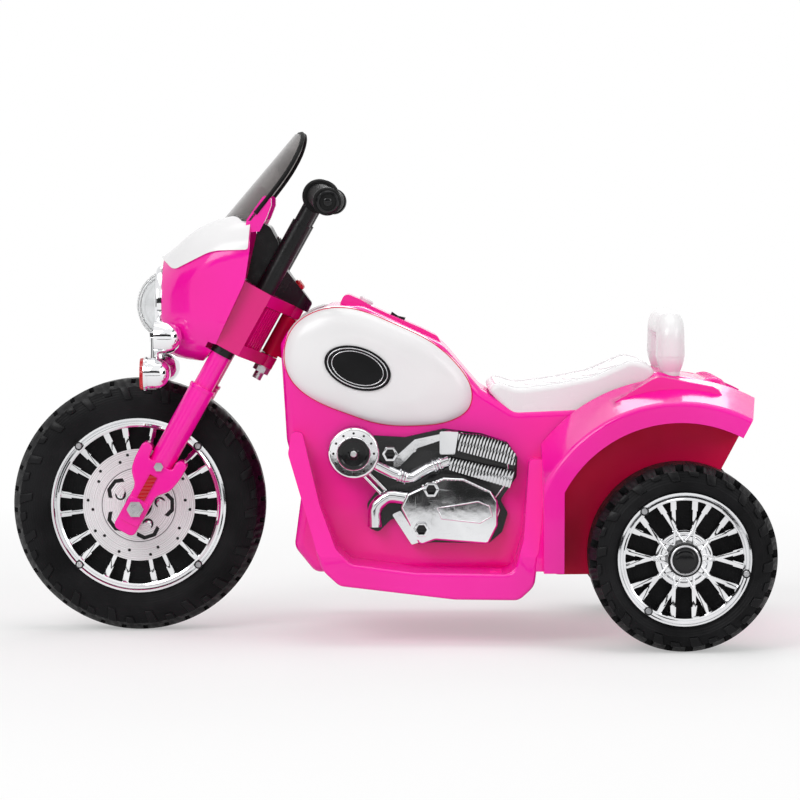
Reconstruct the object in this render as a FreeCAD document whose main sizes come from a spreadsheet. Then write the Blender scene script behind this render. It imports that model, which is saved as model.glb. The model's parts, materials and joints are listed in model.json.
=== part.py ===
import FreeCAD, Part
import math
import os
import re
from types import SimpleNamespace

import Sketcher

# Kids electric trike in the style of a chopper motorbike.
# Frame: the trike faces -X, its left side is -Y, +Z is up, and the origin lies on the
# ground under the middle of its bounding box. Lengths are in millimetres.

doc = FreeCAD.newDocument("toy_trike")
sheet = doc.addObject("Spreadsheet::Sheet", "Sizes")

sizes = {
    # whole trike
    "wheelbase": 569,
    "front_wheel_radius": 135,
    "rear_wheel_radius": 96,
    "track_half": 168,
    "frame_height": 360,
    "ground_gap": 68,
    "wall": 3,
    "overrun": 12,
    "running_gap": 0.05,
    "moving_gap": 0.6,
    "fit_gap": 0.25,
    # steering geometry
    "rake_angle": 29,
    "fork_offset": 44,
    "crown_gap": 59,
    "head_height": 73,
    "leg_spread": 58,
    # front wheel
    "front_tyre_half": 31,
    "front_sidewall_half": 27,
    "front_crown_half": 13,
    "front_shoulder_drop": 8,
    "front_bulge_drop": 23,
    "front_tread_skin": 13,
    "front_rim_radius": 94,
    "front_ring_width": 8,
    "front_ring_face": 28,
    "ring_bevel": 2.2,
    "front_web_half": 9,
    "front_hub_radius": 14,
    "front_hub_half": 36,
    "front_flange_radius": 59,
    "front_boss_radius": 42,
    "front_spoke_step": 73,
    "front_spoke_thin": 4.2,
    "front_spoke_thick": 6.6,
    "front_spoke_depth": 7,
    "front_lug_count": 36,
    "front_lug_width": 5,
    "front_lug_depth": 5,
    "disc_radius": 60,
    "disc_thick": 3,
    "disc_seat": 21,
    "disc_hole_radius": 1.7,
    "disc_hole_inner_ring": 49.5,
    "disc_hole_outer_ring": 54.5,
    "disc_hole_shift": 5,
    "disc_bolt_ring": 25,
    "disc_bolt_radius": 5,
    "disc_bolt_height": 2.5,
    "disc_slot_inner": 31,
    "disc_slot_outer": 37.5,
    "disc_slot_reach": 13,
    "disc_slot_width": 4,
    "axle_radius": 5,
    "screw_radius": 3.2,
    "screw_height": 1.6,
    # rear wheels
    "rear_tyre_half": 39,
    "rear_sidewall_half": 35,
    "rear_crown_half": 24,
    "rear_shoulder_drop": 6,
    "rear_bulge_drop": 17,
    "rear_tread_skin": 12,
    "rear_rim_radius": 69,
    "rear_ring_width": 8,
    "rear_ring_face": 37,
    "rear_web_half": 14,
    "rear_hub_radius": 15,
    "rear_disc_radius": 30,
    "rear_disc_face": 27,
    "rear_spoke_step": 50,
    "rear_spoke_thin": 4,
    "rear_spoke_thick": 6,
    "rear_spoke_depth": 8,
    "rear_spoke_inner": 17,
    "rear_spoke_cross": 4.5,
    "rear_spoke_open": 8.5,
    "rear_lug_count": 28,
    "rear_lug_width": 8,
    "rear_lug_depth": 7,
    "hubcap_radius": 17.5,
    "hubcap_height": 17,
    "hubcap_edge": 3,
    # fork
    "fork_tube_radius": 10.8,
    "fork_tube_socket": 45,
    "fork_collar_radius": 12.4,
    "fork_collar_height": 8,
    "slider_radius": 13.6,
    "slider_top": 147,
    "slider_low": 56,
    "caliper_inner": 42,
    "caliper_outer": 72,
    "lug_half_width": 12.4,
    "lug_low": 28,
    "caliper_low": 22,
    "caliper_high": 68,
    "caliper_front": 27,
    "caliper_rear": 26,
    "caliper_slope": 13,
    "caliper_notch": 12,
    "caliper_edge": 2.5,
    "axle_boss_radius": 11,
    "reflector_low": 12,
    "reflector_high": 40,
    "reflector_half": 4.2,
    "reflector_height": 1.6,
    "nut_radius": 9,
    "nut_height": 6,
    "leg_bolt_radius": 5,
    "leg_bolt_height": 3,
    # steering head, bolt and neck
    "head_front": 62,
    "head_half": 73,
    "head_shoulder": 27,
    "head_tail_radius": 9.6,
    "head_plate": 13,
    "head_wall": 5,
    "head_socket_radius": 14.6,
    "steering_bolt_radius": 5,
    "steering_bolt_tail": 16,
    "washer_radius": 9.2,
    "washer_height": 1.5,
    "neck_radius": 9,
    "neck_web_half": 8,
    "neck_web_length": 70,
    "neck_web_margin": 3,
    "neck_flange_half": 26,
    "neck_flange_height": 6,
    # dash, handlebar and grips
    "dash_half": 38,
    "dash_rear_radius": 14,
    "dash_rise": 62,
    "dash_front": 78,
    "bar_radius": 9,
    "bar_setback": 36,
    "bar_spread": 52,
    "bar_rise": 116,
    "bar_bend": 16,
    "bar_sleeve_radius": 10.6,
    "grip_sweep": 14,
    "grip_reach": 165,
    "grip_start": 69,
    "grip_radius": 13.4,
    "grip_flange_radius": 18,
    "grip_flange_width": 10,
    "grip_cap_radius": 14.5,
    "grip_cap_width": 7,
    "grip_rib_pitch": 8,
    "grip_rib_depth": 1.4,
    "button_radius": 6,
    "button_height": 6,
    "button_travel": 2.5,
    "button_spacing": 11,
    # fairing, lamp and windscreen
    "fairing_setback": 27,
    "fairing_rise": 155,
    "fairing_length": 98,
    "fairing_height": 156,
    "fairing_half": 85,
    "cap_skin": 2.4,
    "horn_inner": 56,
    "horn_outer": 72,
    "screen_skin": 2.6,
    "screen_half": 72,
    "screen_height": 92,
    "screen_lean": 78,
    "screen_bow": 31,
    "lamp_rise": 213,
    "lamp_setback": 21,
    "lamp_radius": 36.5,
    "lamp_dome": 24,
    "lamp_skin": 2,
    "bezel_width": 5.5,
    "bezel_depth": 13,
    "bowl_depth": 24,
    "bowl_neck_radius": 12,
    "bulb_radius": 5,
    "bar_arm_half": 5,
    "bar_arm_rise": 8,
    "bar_arm_reach": 72,
    "spot_radius": 17,
    "spot_length": 24,
    "signal_drop": 62,
    "signal_radius": 17,
    "signal_length": 20,
    "signal_stalk_radius": 4.5,
    "signal_lens_skin": 5,
    # body shells
    "hull_half": 78,
    "hull_round": 10,
    "well_wall": 116,
    "well_front": 120,
    "arch_gap": 40,
    "arch_band": 21,
    "arch_crest": 42,
    "fender_half": 158,
    "fender_inner": 80,
    "fender_edge": 6,
    "fender_front": 141,
    "fender_floor": 76,
    "tray_half": 150,
    "tray_inner": 60,
    "tray_edge": 3.5,
    "tray_top_half": 92,
    "tray_taper_low": 92,
    "deck_length": 82,
    "deck_half": 48,
    "deck_setback": 405,
    "deck_floor": 200,
    "bay_floor": 80,
    "head_recess_radius": 19,
    "sleeve_hole_gap": 1.5,
    "belly_half": 57,
    "belly_skin": 3,
    "belly_margin": 14,
    "rib_half": 1.6,
    "rib_height": 2,
    "rib_pitch": 8,
    "engine_reach": 104,
    # tank panels, badges, engine covers
    "panel_length": 197,
    "panel_height": 124,
    "panel_setback": 158,
    "panel_floor": 224,
    "panel_base": 58,
    "panel_dome": 14,
    "badge_length": 72,
    "badge_height": 44,
    "badge_skin": 1.6,
    "badge_tilt": 19,
    "engine_length": 199,
    "engine_height": 121,
    "engine_setback": 204,
    "engine_floor": 99,
    "engine_plate": 6,
    "engine_case_depth": 17,
    "engine_case_edge": 5,
    "cleaner_radius": 27,
    "cleaner_depth": 22,
    "cleaner_rim": 3,
    "cleaner_dome_radius": 18,
    "cleaner_dome_depth": 5,
    "fin_depth": 15,
    "fin_width": 1.8,
    "fin_pitch": 3.4,
    "pipe_radius": 6.2,
    "exhaust_radius": 7.5,
    "pipe_stand": 12,
    "nut_ring_radius": 12,
    "engine_nut_radius": 8,
    "engine_nut_depth": 16,
    # console and switches
    "console_half": 23,
    "start_button_radius": 8,
    "start_button_height": 8,
    "rocker_half_length": 8,
    "rocker_half_width": 6,
    "rocker_height": 9,
    "rocker_pin_radius": 1.5,
    "rocker_pin_drop": 2,
    # seat, backrest and tail
    "seat_half": 75,
    "seat_edge": 6,
    "hoop_radius": 11.5,
    "hoop_half": 62,
    "hoop_setback": 565,
    "hoop_rise": 83,
    "hoop_bend": 34,
    "hoop_pad_radius": 16.5,
    "tail_half": 62,
    "tail_edge": 5,
    # drive
    "gear_pitch_scale": 1,
    "gear_width": 8,
    "gear_backlash": 0.2,
    "wheel_gear_teeth": 32,
    "small_gear_teeth": 12,
    "large_gear_teeth": 30,
    "pinion_teeth": 10,
    "idler_angle": 120,
    "gear_face": 84,
    "gear_step_gap": 2,
    "idler_hub_radius": 4.5,
    "sleeve_radius": 11,
    "case_gap": 1.2,
    "case_wall": 2,
    "idler_shaft_radius": 3,
    "motor_radius": 16,
    "motor_length": 44,
    "motor_edge": 3,
    "motor_shaft_radius": 2,
    "battery_length": 70,
    "battery_width": 47,
    "battery_height": 98,
    "battery_setback": 412,
    "board_length": 62,
    "board_width": 44,
    "board_skin": 1.6,
    "board_setback": 320,
    "boss_radius": 4,
    "screw_seat": 10,
    "screw_shank": 1.5,
    "socket_radius": 8,
    "socket_depth": 12,
    "socket_setback": 377,
    "socket_rise": 232,
    "socket_lip": 2,
    "plug_radius": 2.8,
    # pedal
    "pedal_length": 66,
    "pedal_width": 44,
    "pedal_skin": 6,
    "pedal_setback": 295,
    "pedal_inner": 88,
    "pedal_rise": 9,
    "pedal_edge": 2,
    "pedal_pin_radius": 2,
}
for row, (name, value) in enumerate(sizes.items(), 1):
    sheet.set(f"A{row}", name)
    sheet.set(f"B{row}", str(value))
    sheet.setAlias(f"B{row}", name)
doc.recompute()
dim = SimpleNamespace(**{name: float(sheet.get(name)) for name in sizes})

# Share of the frame's height where its underside starts
underside_share = 0.188889
# Share of an edge that a rounded corner may use up
corner_reach_share = 0.48
spoke_pairs = 10
spoke_pair_angle = 14.5
rim_screws = 4
rear_rim_screws = 3
disc_bolts = 5
full_turn = 360
half_turn = 180
quarter_turn = 90
hex_sides = 6
left, right = -1, 1

Vec = FreeCAD.Vector
x_axis, y_axis, z_axis = Vec(1, 0, 0), Vec(0, 1, 0), Vec(0, 0, 1)
no_turn = FreeCAD.Rotation()

# Places that follow from the driving sizes
front_x = (dim.front_wheel_radius - dim.wheelbase - dim.rear_wheel_radius) / 2
rear_x = front_x + dim.wheelbase
front_axle = Vec(front_x, 0, dim.front_wheel_radius)
rear_axle = Vec(rear_x, 0, dim.rear_wheel_radius)
rake_turn = FreeCAD.Rotation(y_axis, dim.rake_angle)
# The steering frame: z along the steering axis, x square to it and backwards, the axle
# one fork offset in front of its origin.
steer_place = FreeCAD.Placement(front_axle + rake_turn.multVec(x_axis * dim.fork_offset), rake_turn)
head_low = dim.front_wheel_radius + dim.crown_gap
head_top = head_low + dim.head_height
pieces = []


def cells(text):
    """Put the sheet's name before each size that an expression uses."""
    def cell(word):
        return "Sizes." + word.group() if word.group() in sizes else word.group()

    return re.sub(r"[a-z][a-z_]+", cell, text)


def bind(thing, **expressions):
    for name, text in expressions.items():
        thing.setExpression(name, cells(text))


def name_piece(thing, label, placement=None):
    """Register a document object as one physical piece."""
    thing.Label = label
    if placement is not None:
        thing.Placement = placement
    pieces.append(thing)
    return thing


def feature(label, shape, placement=None):
    """A piece whose shape no single feature gives, such as a loft or a moulded shell."""
    thing = doc.addObject("Part::Feature", label)
    solids = shape.Solids
    thing.Shape = solids[0] if len(solids) == 1 else Part.makeCompound(solids)
    return name_piece(thing, label, placement)


def origin_feature(body, role):
    return next(item for item in body.Origin.OriginFeatures if item.Role == role)


def new_sketch(body, name, role, offset="0"):
    sketch = body.newObject("Sketcher::SketchObject", name)
    sketch.AttachmentSupport = [(origin_feature(body, role), "")]
    sketch.MapMode = "FlatFace"
    sketch.setExpression("AttachmentOffset.Base.z", cells(offset))
    return sketch


def polygon_sketch(body, name, role, loops, offset="0"):
    """Closed loops whose corners are each set by two expressions of the sheet's sizes."""
    sketch = new_sketch(body, name, role, offset)
    for loop in loops:
        start = sketch.GeometryCount
        count = len(loop)
        for corner in range(count):
            here = Vec(math.cos(corner), math.sin(corner), 0)
            there = Vec(math.cos((corner + 1) % count), math.sin((corner + 1) % count), 0)
            sketch.addGeometry(Part.LineSegment(here, there), False)
        for corner in range(count):
            follower = start + (corner + 1) % count
            sketch.addConstraint(Sketcher.Constraint("Coincident", start + corner, 2, follower, 1))
        for corner, place in enumerate(loop):
            for kind, text in zip(("DistanceX", "DistanceY"), place):
                index = sketch.addConstraint(Sketcher.Constraint(kind, -1, 1, start + corner, 1, 1.0))
                sketch.setExpression(f"Constraints[{index}]", cells(text))
    return sketch


def circle_sketch(body, name, role, centre, radius, offset="0"):
    sketch = new_sketch(body, name, role, offset)
    sketch.addGeometry(Part.Circle(Vec(0, 0, 0), z_axis, 1), False)
    for kind, text in zip(("DistanceX", "DistanceY"), centre):
        index = sketch.addConstraint(Sketcher.Constraint(kind, -1, 1, 0, 3, 1.0))
        sketch.setExpression(f"Constraints[{index}]", cells(text))
    index = sketch.addConstraint(Sketcher.Constraint("Radius", 0, 1.0))
    sketch.setExpression(f"Constraints[{index}]", cells(radius))
    return sketch


def revolve(body, name, loops, axis="V_Axis"):
    """Turn loops drawn on the XY plane: about Y for a wheel, about X for a lamp."""
    turned = body.newObject("PartDesign::Revolution", name)
    turned.Profile = polygon_sketch(body, name + "_profile", "XY_Plane", loops)
    turned.ReferenceAxis = (turned.Profile[0], [axis])
    turned.Angle = full_turn
    return turned


def pad(body, name, sketch, length):
    padded = body.newObject("PartDesign::Pad", name)
    padded.Profile = sketch
    bind(padded, Length=length)
    return padded


def pocket(body, name, sketch, length, backwards=False):
    cut = body.newObject("PartDesign::Pocket", name)
    cut.Profile = sketch
    cut.Reversed = backwards
    bind(cut, Length=length)
    return cut


def polar(body, name, originals, count, role="Y_Axis"):
    pattern = body.newObject("PartDesign::PolarPattern", name)
    pattern.Originals = originals
    pattern.Axis = (origin_feature(body, role), [""])
    pattern.Angle = full_turn
    pattern.Occurrences = int(count)
    body.Tip = pattern
    return pattern


def round_edges(body, name, radius, chosen):
    """Fillet the edges of the body's present tip that the test picks."""
    doc.recompute()
    base = body.Tip
    names = [f"Edge{number}" for number, edge in enumerate(base.Shape.Edges, 1) if chosen(edge)]
    fillet = body.newObject("PartDesign::Fillet", name)
    fillet.Base = (base, names)
    bind(fillet, Radius=radius)
    return fillet


def plain_body(label, placement):
    body = doc.addObject("PartDesign::Body", label)
    body.Placement = placement
    return body


def new_body(label, placement=None):
    return name_piece(plain_body(label, placement or FreeCAD.Placement()), label)


def cylinder(name, radius, height, placement):
    rod = doc.addObject("Part::Cylinder", name)
    bind(rod, Radius=radius, Height=height)
    rod.Placement = placement
    return rod


def hexagon(name, radius, height, placement):
    prism = doc.addObject("Part::Prism", name)
    prism.Polygon = hex_sides
    bind(prism, Circumradius=radius, Height=height)
    prism.Placement = placement
    return prism


def fuse(name, shapes):
    joined = doc.addObject("Part::MultiFuse", name)
    joined.Shapes = shapes
    return joined


def cut(name, base, tool):
    remainder = doc.addObject("Part::Cut", name)
    remainder.Base = base
    remainder.Tool = tool
    return remainder


def group(label, shapes):
    """Identical small pieces that share one node as separate solids."""
    bundle = doc.addObject("Part::Compound", label)
    bundle.Links = shapes
    return name_piece(bundle, label)


def along(direction, base):
    """Placement that turns +Z to a direction."""
    return FreeCAD.Placement(base, FreeCAD.Rotation(z_axis, direction))


def in_steer(point, turn=no_turn):
    return steer_place.multiply(FreeCAD.Placement(point, turn))


def rounded_wire(points, radii, closed=True):
    """Straight runs through points, with a tangent arc at each corner."""
    count = len(points)
    edges = []
    joints = []
    for index, (point, radius) in enumerate(zip(points, radii)):
        ends = not closed and index in (0, count - 1)
        if ends or not radius:
            joints.append((point, None, point))
            continue
        back = points[index - 1] - point
        ahead = points[(index + 1) % count] - point
        half = back.getAngle(ahead) / 2
        reach = min(radius / math.tan(half), corner_reach_share * min(back.Length, ahead.Length))
        back.normalize()
        ahead.normalize()
        middle = (back + ahead).normalize()
        bow = reach / math.cos(half) - reach * math.tan(half)
        joints.append((point + back * reach, point + middle * bow, point + ahead * reach))
    for index, (start, middle, end) in enumerate(joints):
        if middle is not None:
            edges.append(Part.Arc(start, middle, end).toShape())
        if closed or index < count - 1:
            following = joints[(index + 1) % count][0]
            if (following - end).Length > dim.running_gap:
                edges.append(Part.LineSegment(end, following).toShape())
    return Part.Wire(edges)


def side_wire(corners, depth=0, shrink=0):
    """Closed outline in the side view from corners (x, z, radius), moved inwards by shrink."""
    points = [Vec(x, depth, z) for x, z, _ in corners]
    wire = rounded_wire(points, [radius for _, _, radius in corners])
    return wire.makeOffset2D(-shrink) if shrink else wire


def slab(corners, low, high, shrink=0):
    """Prism of a side outline between two values of Y."""
    return Part.Face(side_wire(corners, low, shrink)).extrude(Vec(0, high - low, 0))


def tube(path, radius):
    start = path.Edges[0]
    direction = start.tangentAt(start.FirstParameter)
    ring = Part.Wire(Part.makeCircle(radius, start.valueAt(start.FirstParameter), direction))
    return Part.Wire(path.Edges).makePipeShell([ring], True, False)


def body_height(share):
    """Height of a share of the frame, whose underside keeps its gap to the ground."""
    rise_share = (share - underside_share) / (1 - underside_share)
    return dim.ground_gap + rise_share * (dim.frame_height - dim.ground_gap)


def body_point(share):
    """Place on the body from shares of the wheelbase and of the frame's height."""
    return front_x + share[0] * dim.wheelbase, body_height(share[1])


def body_outline(shares):
    """Corners from shares of the wheelbase, of the frame's height and, for radii, of that height."""
    return [(*body_point(share), share[2] * dim.frame_height) for share in shares]


def edges_at(shape, depth):
    """Edges that lie in the plane of one value of Y."""
    near = dim.running_gap
    return [edge for edge in shape.Edges
            if abs(edge.BoundBox.YMin - depth) < near and abs(edge.BoundBox.YMax - depth) < near]


# Front wheel: a hollow blow-moulded tyre and web that turns on the axle
def shoulder_lugs(body, prefix, radius, half, crown):
    """Notches round both shoulders, one row half a step ahead of the other."""
    cuts = []
    step = f"{full_turn / dim.__dict__[prefix + '_lug_count'] / 2} deg"
    for name, start, shift in (("lug_left", f"{crown}", f"{radius} * sin({step}) / 2"),
                               ("lug_right", f"-{half} - overrun", f"-{radius} * sin({step}) / 2")):
        low = f"{shift} - {prefix}_lug_width / 2"
        high = f"{shift} + {prefix}_lug_width / 2"
        root = f"{radius} - {prefix}_lug_depth"
        outer = f"{radius} + overrun"
        loop = [(root, low), (outer, low), (outer, high), (root, high)]
        sketch = polygon_sketch(body, name, "XZ_Plane", [loop], start)
        cuts.append(pocket(body, name + "_cut", sketch, f"{half} + overrun - {crown}", True))
    polar(body, "lugs_around", cuts, dim.__dict__[prefix + "_lug_count"])


def front_tyre():
    body = new_body("front_tyre", FreeCAD.Placement(front_axle, no_turn))
    bore = "axle_radius + running_gap"
    recess = "front_rim_radius + fit_gap"
    bulge = "front_wheel_radius - front_bulge_drop"
    shoulder = "front_wheel_radius - front_shoulder_drop"
    half = [(bore, "front_hub_half"), ("front_hub_radius", "front_hub_half"),
            ("front_hub_radius", "front_web_half"),
            (recess, "front_web_half"), (recess, "front_sidewall_half"), (bulge, "front_tyre_half"),
            (shoulder, "front_sidewall_half"), ("front_wheel_radius", "front_crown_half")]
    outer = half + [(r, f"-({y})") for r, y in reversed(half)]
    skin = "front_wheel_radius - front_tread_skin"
    void_half = [("front_rim_radius + wall + fit_gap", "front_sidewall_half - 2 * wall"),
                 (bulge, "front_tyre_half - 2 * wall"), (skin, "front_crown_half")]
    void = void_half + [(r, f"-({y})") for r, y in reversed(void_half)]
    revolve(body, "moulding", [outer, void])
    shoulder_lugs(body, "front", "front_wheel_radius", "front_tyre_half", "front_crown_half")


def spoke_loop(prefix, side, inner, outer, inner_shift, outer_shift):
    """Stepped spoke: thin at the hub, thick at the rim, between two sideways shifts."""
    step = f"{prefix}_spoke_step"
    part_way = f"({step} - ({inner})) / (({outer}) - ({inner}))"
    bend = f"(({inner_shift}) + (({outer_shift}) - ({inner_shift})) * {part_way})"
    thin, thick = f"{prefix}_spoke_thin / 2", f"{prefix}_spoke_thick / 2"
    line = [(inner, inner_shift, thin), (step, bend, thin), (step, bend, thick),
            (outer, outer_shift, thick)]
    near = [(r, f"{side} * ({shift}) - {half}") for r, shift, half in line]
    far = [(r, f"{side} * ({shift}) + {half}") for r, shift, half in reversed(line)]
    return near + far


def spoke_set(body, prefix, inner, outer, inner_shift, outer_shift, seat):
    pads = []
    for name, side in (("spoke_low", left), ("spoke_high", right)):
        loop = spoke_loop(prefix, side, inner, outer, inner_shift, outer_shift)
        sketch = polygon_sketch(body, name, "XZ_Plane", [loop], seat)
        pads.append(pad(body, name + "_pad", sketch, f"{prefix}_spoke_depth"))
    polar(body, "spokes_around", pads, spoke_pairs)


def front_rim(label, turn):
    """Plated trim: a bevelled ring, paired spokes and the flange that carries the disc."""
    body = new_body(label, FreeCAD.Placement(front_axle, FreeCAD.Rotation(z_axis, turn)))
    ring_in = "front_rim_radius - front_ring_width"
    web, face = "-front_web_half", "-front_ring_face"
    lip = "-(front_ring_face - ring_bevel)"
    ring = [(ring_in, web), ("front_rim_radius", web), ("front_rim_radius", lip),
            ("front_rim_radius - ring_bevel", face), (f"{ring_in} + ring_bevel", face), (ring_in, lip)]
    hole = "front_hub_radius + fit_gap"
    top = "-(front_web_half + front_spoke_depth)"
    flange = [(hole, web), ("front_flange_radius", web), ("front_flange_radius", top),
              ("front_boss_radius", top), ("front_boss_radius", "-disc_seat"), (hole, "-disc_seat")]
    revolve(body, "ring", [ring])
    slope = f"tan({spoke_pair_angle / 2} deg)"
    inner = "front_flange_radius - wall"
    outer = f"{ring_in} + wall / 2"
    spoke_set(body, "front", inner, outer, f"({inner}) * {slope}", f"({outer}) * {slope}",
              "front_web_half")
    revolve(body, "flange", [flange])


def brake_disc(name, turn):
    """Drilled disc with bent vents and a ring of bolt heads."""
    body = plain_body(name, FreeCAD.Placement(front_axle, FreeCAD.Rotation(z_axis, turn)))
    hole = "front_hub_radius + fit_gap"
    face = "-(disc_seat + disc_thick)"
    revolve(body, "plate", [[(hole, "-disc_seat"), ("disc_radius", "-disc_seat"), ("disc_radius", face),
                             (hole, face)]])
    start = "disc_seat + disc_thick + overrun"
    depth = "disc_thick + 2 * overrun"
    drilled = []
    for name, ring, shift in (("hole_in", "disc_hole_inner_ring", "disc_hole_shift"),
                              ("hole_out", "disc_hole_outer_ring", "-disc_hole_shift")):
        sketch = circle_sketch(body, name, "XZ_Plane", (ring, shift), "disc_hole_radius", start)
        drilled.append(pocket(body, name + "_cut", sketch, depth))
    polar(body, "holes_around", drilled, spoke_pairs)
    reach, wide = "disc_slot_reach", "disc_slot_width"
    low, high = "disc_slot_inner", "disc_slot_outer"
    loop = [(low, f"-{reach}"), (high, f"-{reach} / 2"), (high, f"{reach} / 2"), (low, reach),
            (f"{low} - {wide}", f"{reach} - {wide} / 2"),
            (f"{high} - {wide}", f"{reach} / 2 - {wide} / 2"),
            (f"{high} - {wide}", f"{wide} / 2 - {reach} / 2"),
            (f"{low} - {wide}", f"{wide} / 2 - {reach}")]
    vent = pocket(body, "vent_cut", polygon_sketch(body, "vent", "XZ_Plane", [loop], start), depth)
    polar(body, "vents_around", [vent], disc_bolts)
    sketch = circle_sketch(body, "bolt", "XZ_Plane", ("disc_bolt_ring", "0"), "disc_bolt_radius",
                           "disc_seat + disc_thick")
    polar(body, "bolts_around", [pad(body, "bolt_pad", sketch, "disc_bolt_height")], disc_bolts)
    return body


def ring_screws(label, centre, radius, depth, count, sides, phase):
    """Screw heads seated on the face of a rim ring."""
    heads = []
    for side in sides:
        for index in range(count):
            angle = math.radians(phase + index * full_turn / count)
            spot = centre + Vec(radius * math.cos(angle), side * depth, radius * math.sin(angle))
            heads.append(cylinder(f"{label}_{len(heads)}", "screw_radius", "screw_height",
                                  along(y_axis * side, spot)))
    return group(label, heads)


# Rear wheels: the same make, wider, with the trim on the outer face only
def rear_tyre(label, side):
    body = new_body(label, rear_place(side))
    bore = "axle_radius + running_gap"
    recess = "rear_rim_radius + fit_gap"
    bulge = "rear_wheel_radius - rear_bulge_drop"
    shoulder = "rear_wheel_radius - rear_shoulder_drop"
    hub_end = "track_half - well_wall - moving_gap"
    back = "rear_sidewall_half"
    outer = [(bore, "-rear_disc_face"), ("rear_hub_radius", "-rear_disc_face"),
             ("rear_hub_radius", "-rear_web_half"),
             (recess, "-rear_web_half"), (recess, "-rear_sidewall_half"), (bulge, "-rear_tyre_half"),
             (shoulder, "-rear_sidewall_half"), ("rear_wheel_radius", "-rear_crown_half"),
             ("rear_wheel_radius", "rear_crown_half"), (shoulder, "rear_sidewall_half"),
             (bulge, "rear_tyre_half"),
             (recess, back), ("rear_hub_radius", back), ("rear_hub_radius", hub_end), (bore, hub_end)]
    skin = "rear_wheel_radius - rear_tread_skin"
    void = [("rear_hub_radius + wall", "wall - rear_web_half"),
            ("rear_rim_radius + 2 * wall", "wall - rear_web_half"),
            ("rear_rim_radius + 2 * wall", "3 * wall - rear_tyre_half"), (skin, "-rear_crown_half"),
            (skin, "rear_crown_half"), (bulge, "rear_sidewall_half - wall"),
            ("rear_hub_radius + wall", "rear_sidewall_half - wall")]
    revolve(body, "moulding", [outer, void])
    shoulder_lugs(body, "rear", "rear_wheel_radius", "rear_tyre_half", "rear_crown_half")


def rear_place(side):
    turn = FreeCAD.Rotation(z_axis, 0 if side == left else half_turn)
    return FreeCAD.Placement(rear_axle + y_axis * side * dim.track_half, turn)


def rear_rim(label, side):
    body = new_body(label, rear_place(side))
    ring_in = "rear_rim_radius - rear_ring_width"
    web, face = "-rear_web_half", "-rear_ring_face"
    lip = "-(rear_ring_face - ring_bevel)"
    ring = [(ring_in, web), ("rear_rim_radius", web), ("rear_rim_radius", lip),
            ("rear_rim_radius - ring_bevel", face), (f"{ring_in} + ring_bevel", face), (ring_in, lip)]
    hole = "rear_hub_radius + fit_gap"
    top = "-rear_disc_face"
    hub_disc = [(hole, web), ("rear_disc_radius", web), ("rear_disc_radius", f"{top} + ring_bevel"),
                ("rear_disc_radius - ring_bevel", top), (hole, top)]
    revolve(body, "ring", [ring])
    spoke_set(body, "rear", "rear_spoke_inner", f"{ring_in} + wall / 2", "-rear_spoke_cross",
              "rear_spoke_open",
              "rear_disc_face - rear_spoke_depth - fit_gap")
    revolve(body, "hub_disc", [hub_disc])


def hubcap(label, side):
    """Domed cap over the end of the axle and its nut."""
    body = new_body(label, rear_place(side))
    seat, top = "-rear_disc_face", "-(rear_disc_face + hubcap_height)"
    rim = "-(rear_disc_face + hubcap_height - hubcap_edge)"
    inner = "hubcap_radius - wall"
    roof = "-(rear_disc_face + hubcap_height - wall)"
    revolve(body, "cap", [[(inner, seat), ("hubcap_radius", seat), ("hubcap_radius", rim),
                           ("hubcap_radius - hubcap_edge", top), ("0", top), ("0", roof), (inner, roof)]])


# Fork legs, caliper mouldings, axle and their fasteners
def leg_place(side):
    return FreeCAD.Placement(front_axle + y_axis * side * dim.leg_spread, rake_turn)


def pad_between(body, name, loop, low, high):
    """Pad a side-view loop between two values of Y."""
    return pad(body, name, polygon_sketch(body, name + "_loop", "XZ_Plane", [loop], f"-({high})"),
               f"({high}) - ({low})")


def fork_lower(label, side):
    """Slider, caliper block and axle lug of one leg, moulded in one piece."""
    body = new_body(label, FreeCAD.Placement(front_axle, rake_turn))
    limits = ("caliper_inner", "caliper_outer") if side == right else ("-caliper_outer", "-caliper_inner")
    front, rear = "-caliper_front", "caliper_rear"
    lug, slope, notch = "lug_half_width", "caliper_slope", "caliper_notch"
    loop = [(f"-{lug}", "-lug_low"), (lug, "-lug_low"), (lug, "caliper_low"),
            (f"{rear} - wall", f"caliper_low + {slope}"),
            (rear, f"caliper_high - {notch}"), (f"{rear} - {notch}", "caliper_high"),
            (notch, f"caliper_high - {notch}"),
            (f"-{notch}", f"caliper_high - {notch}"), (f"{front} + {notch}", "caliper_high"),
            (front, f"caliper_high - {notch}"), (f"{front} + wall", f"caliper_low + {slope}"),
            (f"-{lug}", "caliper_low")]
    pad_between(body, "caliper", loop, *limits)
    plane = dim.caliper_outer * side

    def on_face(edge):
        box = edge.BoundBox
        return max(abs(box.YMin - plane), abs(box.YMax - plane)) < dim.running_gap

    round_edges(body, "caliper_edges", "caliper_edge", on_face)
    shift = str(side)
    sketch = circle_sketch(body, "slider", "XY_Plane", ("0", f"{shift} * leg_spread"), "slider_radius",
                           "slider_low - slider_radius")
    pad(body, "slider_pad", sketch, "slider_top - slider_low + slider_radius")
    boss_start = f"{-side} * (front_hub_half + moving_gap)"
    boss = circle_sketch(body, "boss", "XZ_Plane", ("0", "0"), "axle_boss_radius", boss_start)
    boss_pad = pad(body, "boss_pad", boss, "caliper_inner - front_hub_half - moving_gap")
    boss_pad.Reversed = side == right
    bore = circle_sketch(body, "bore", "XZ_Plane", ("0", "0"), "axle_radius + running_gap",
                         "caliper_outer + overrun")
    pocket(body, "bore_cut", bore, "2 * (caliper_outer + overrun)")
    socket = circle_sketch(body, "socket", "XY_Plane", ("0", f"{shift} * leg_spread"),
                           "fork_tube_radius + running_gap",
                           "slider_top + overrun")
    pocket(body, "socket_cut", socket, "fork_tube_socket + overrun")


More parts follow.
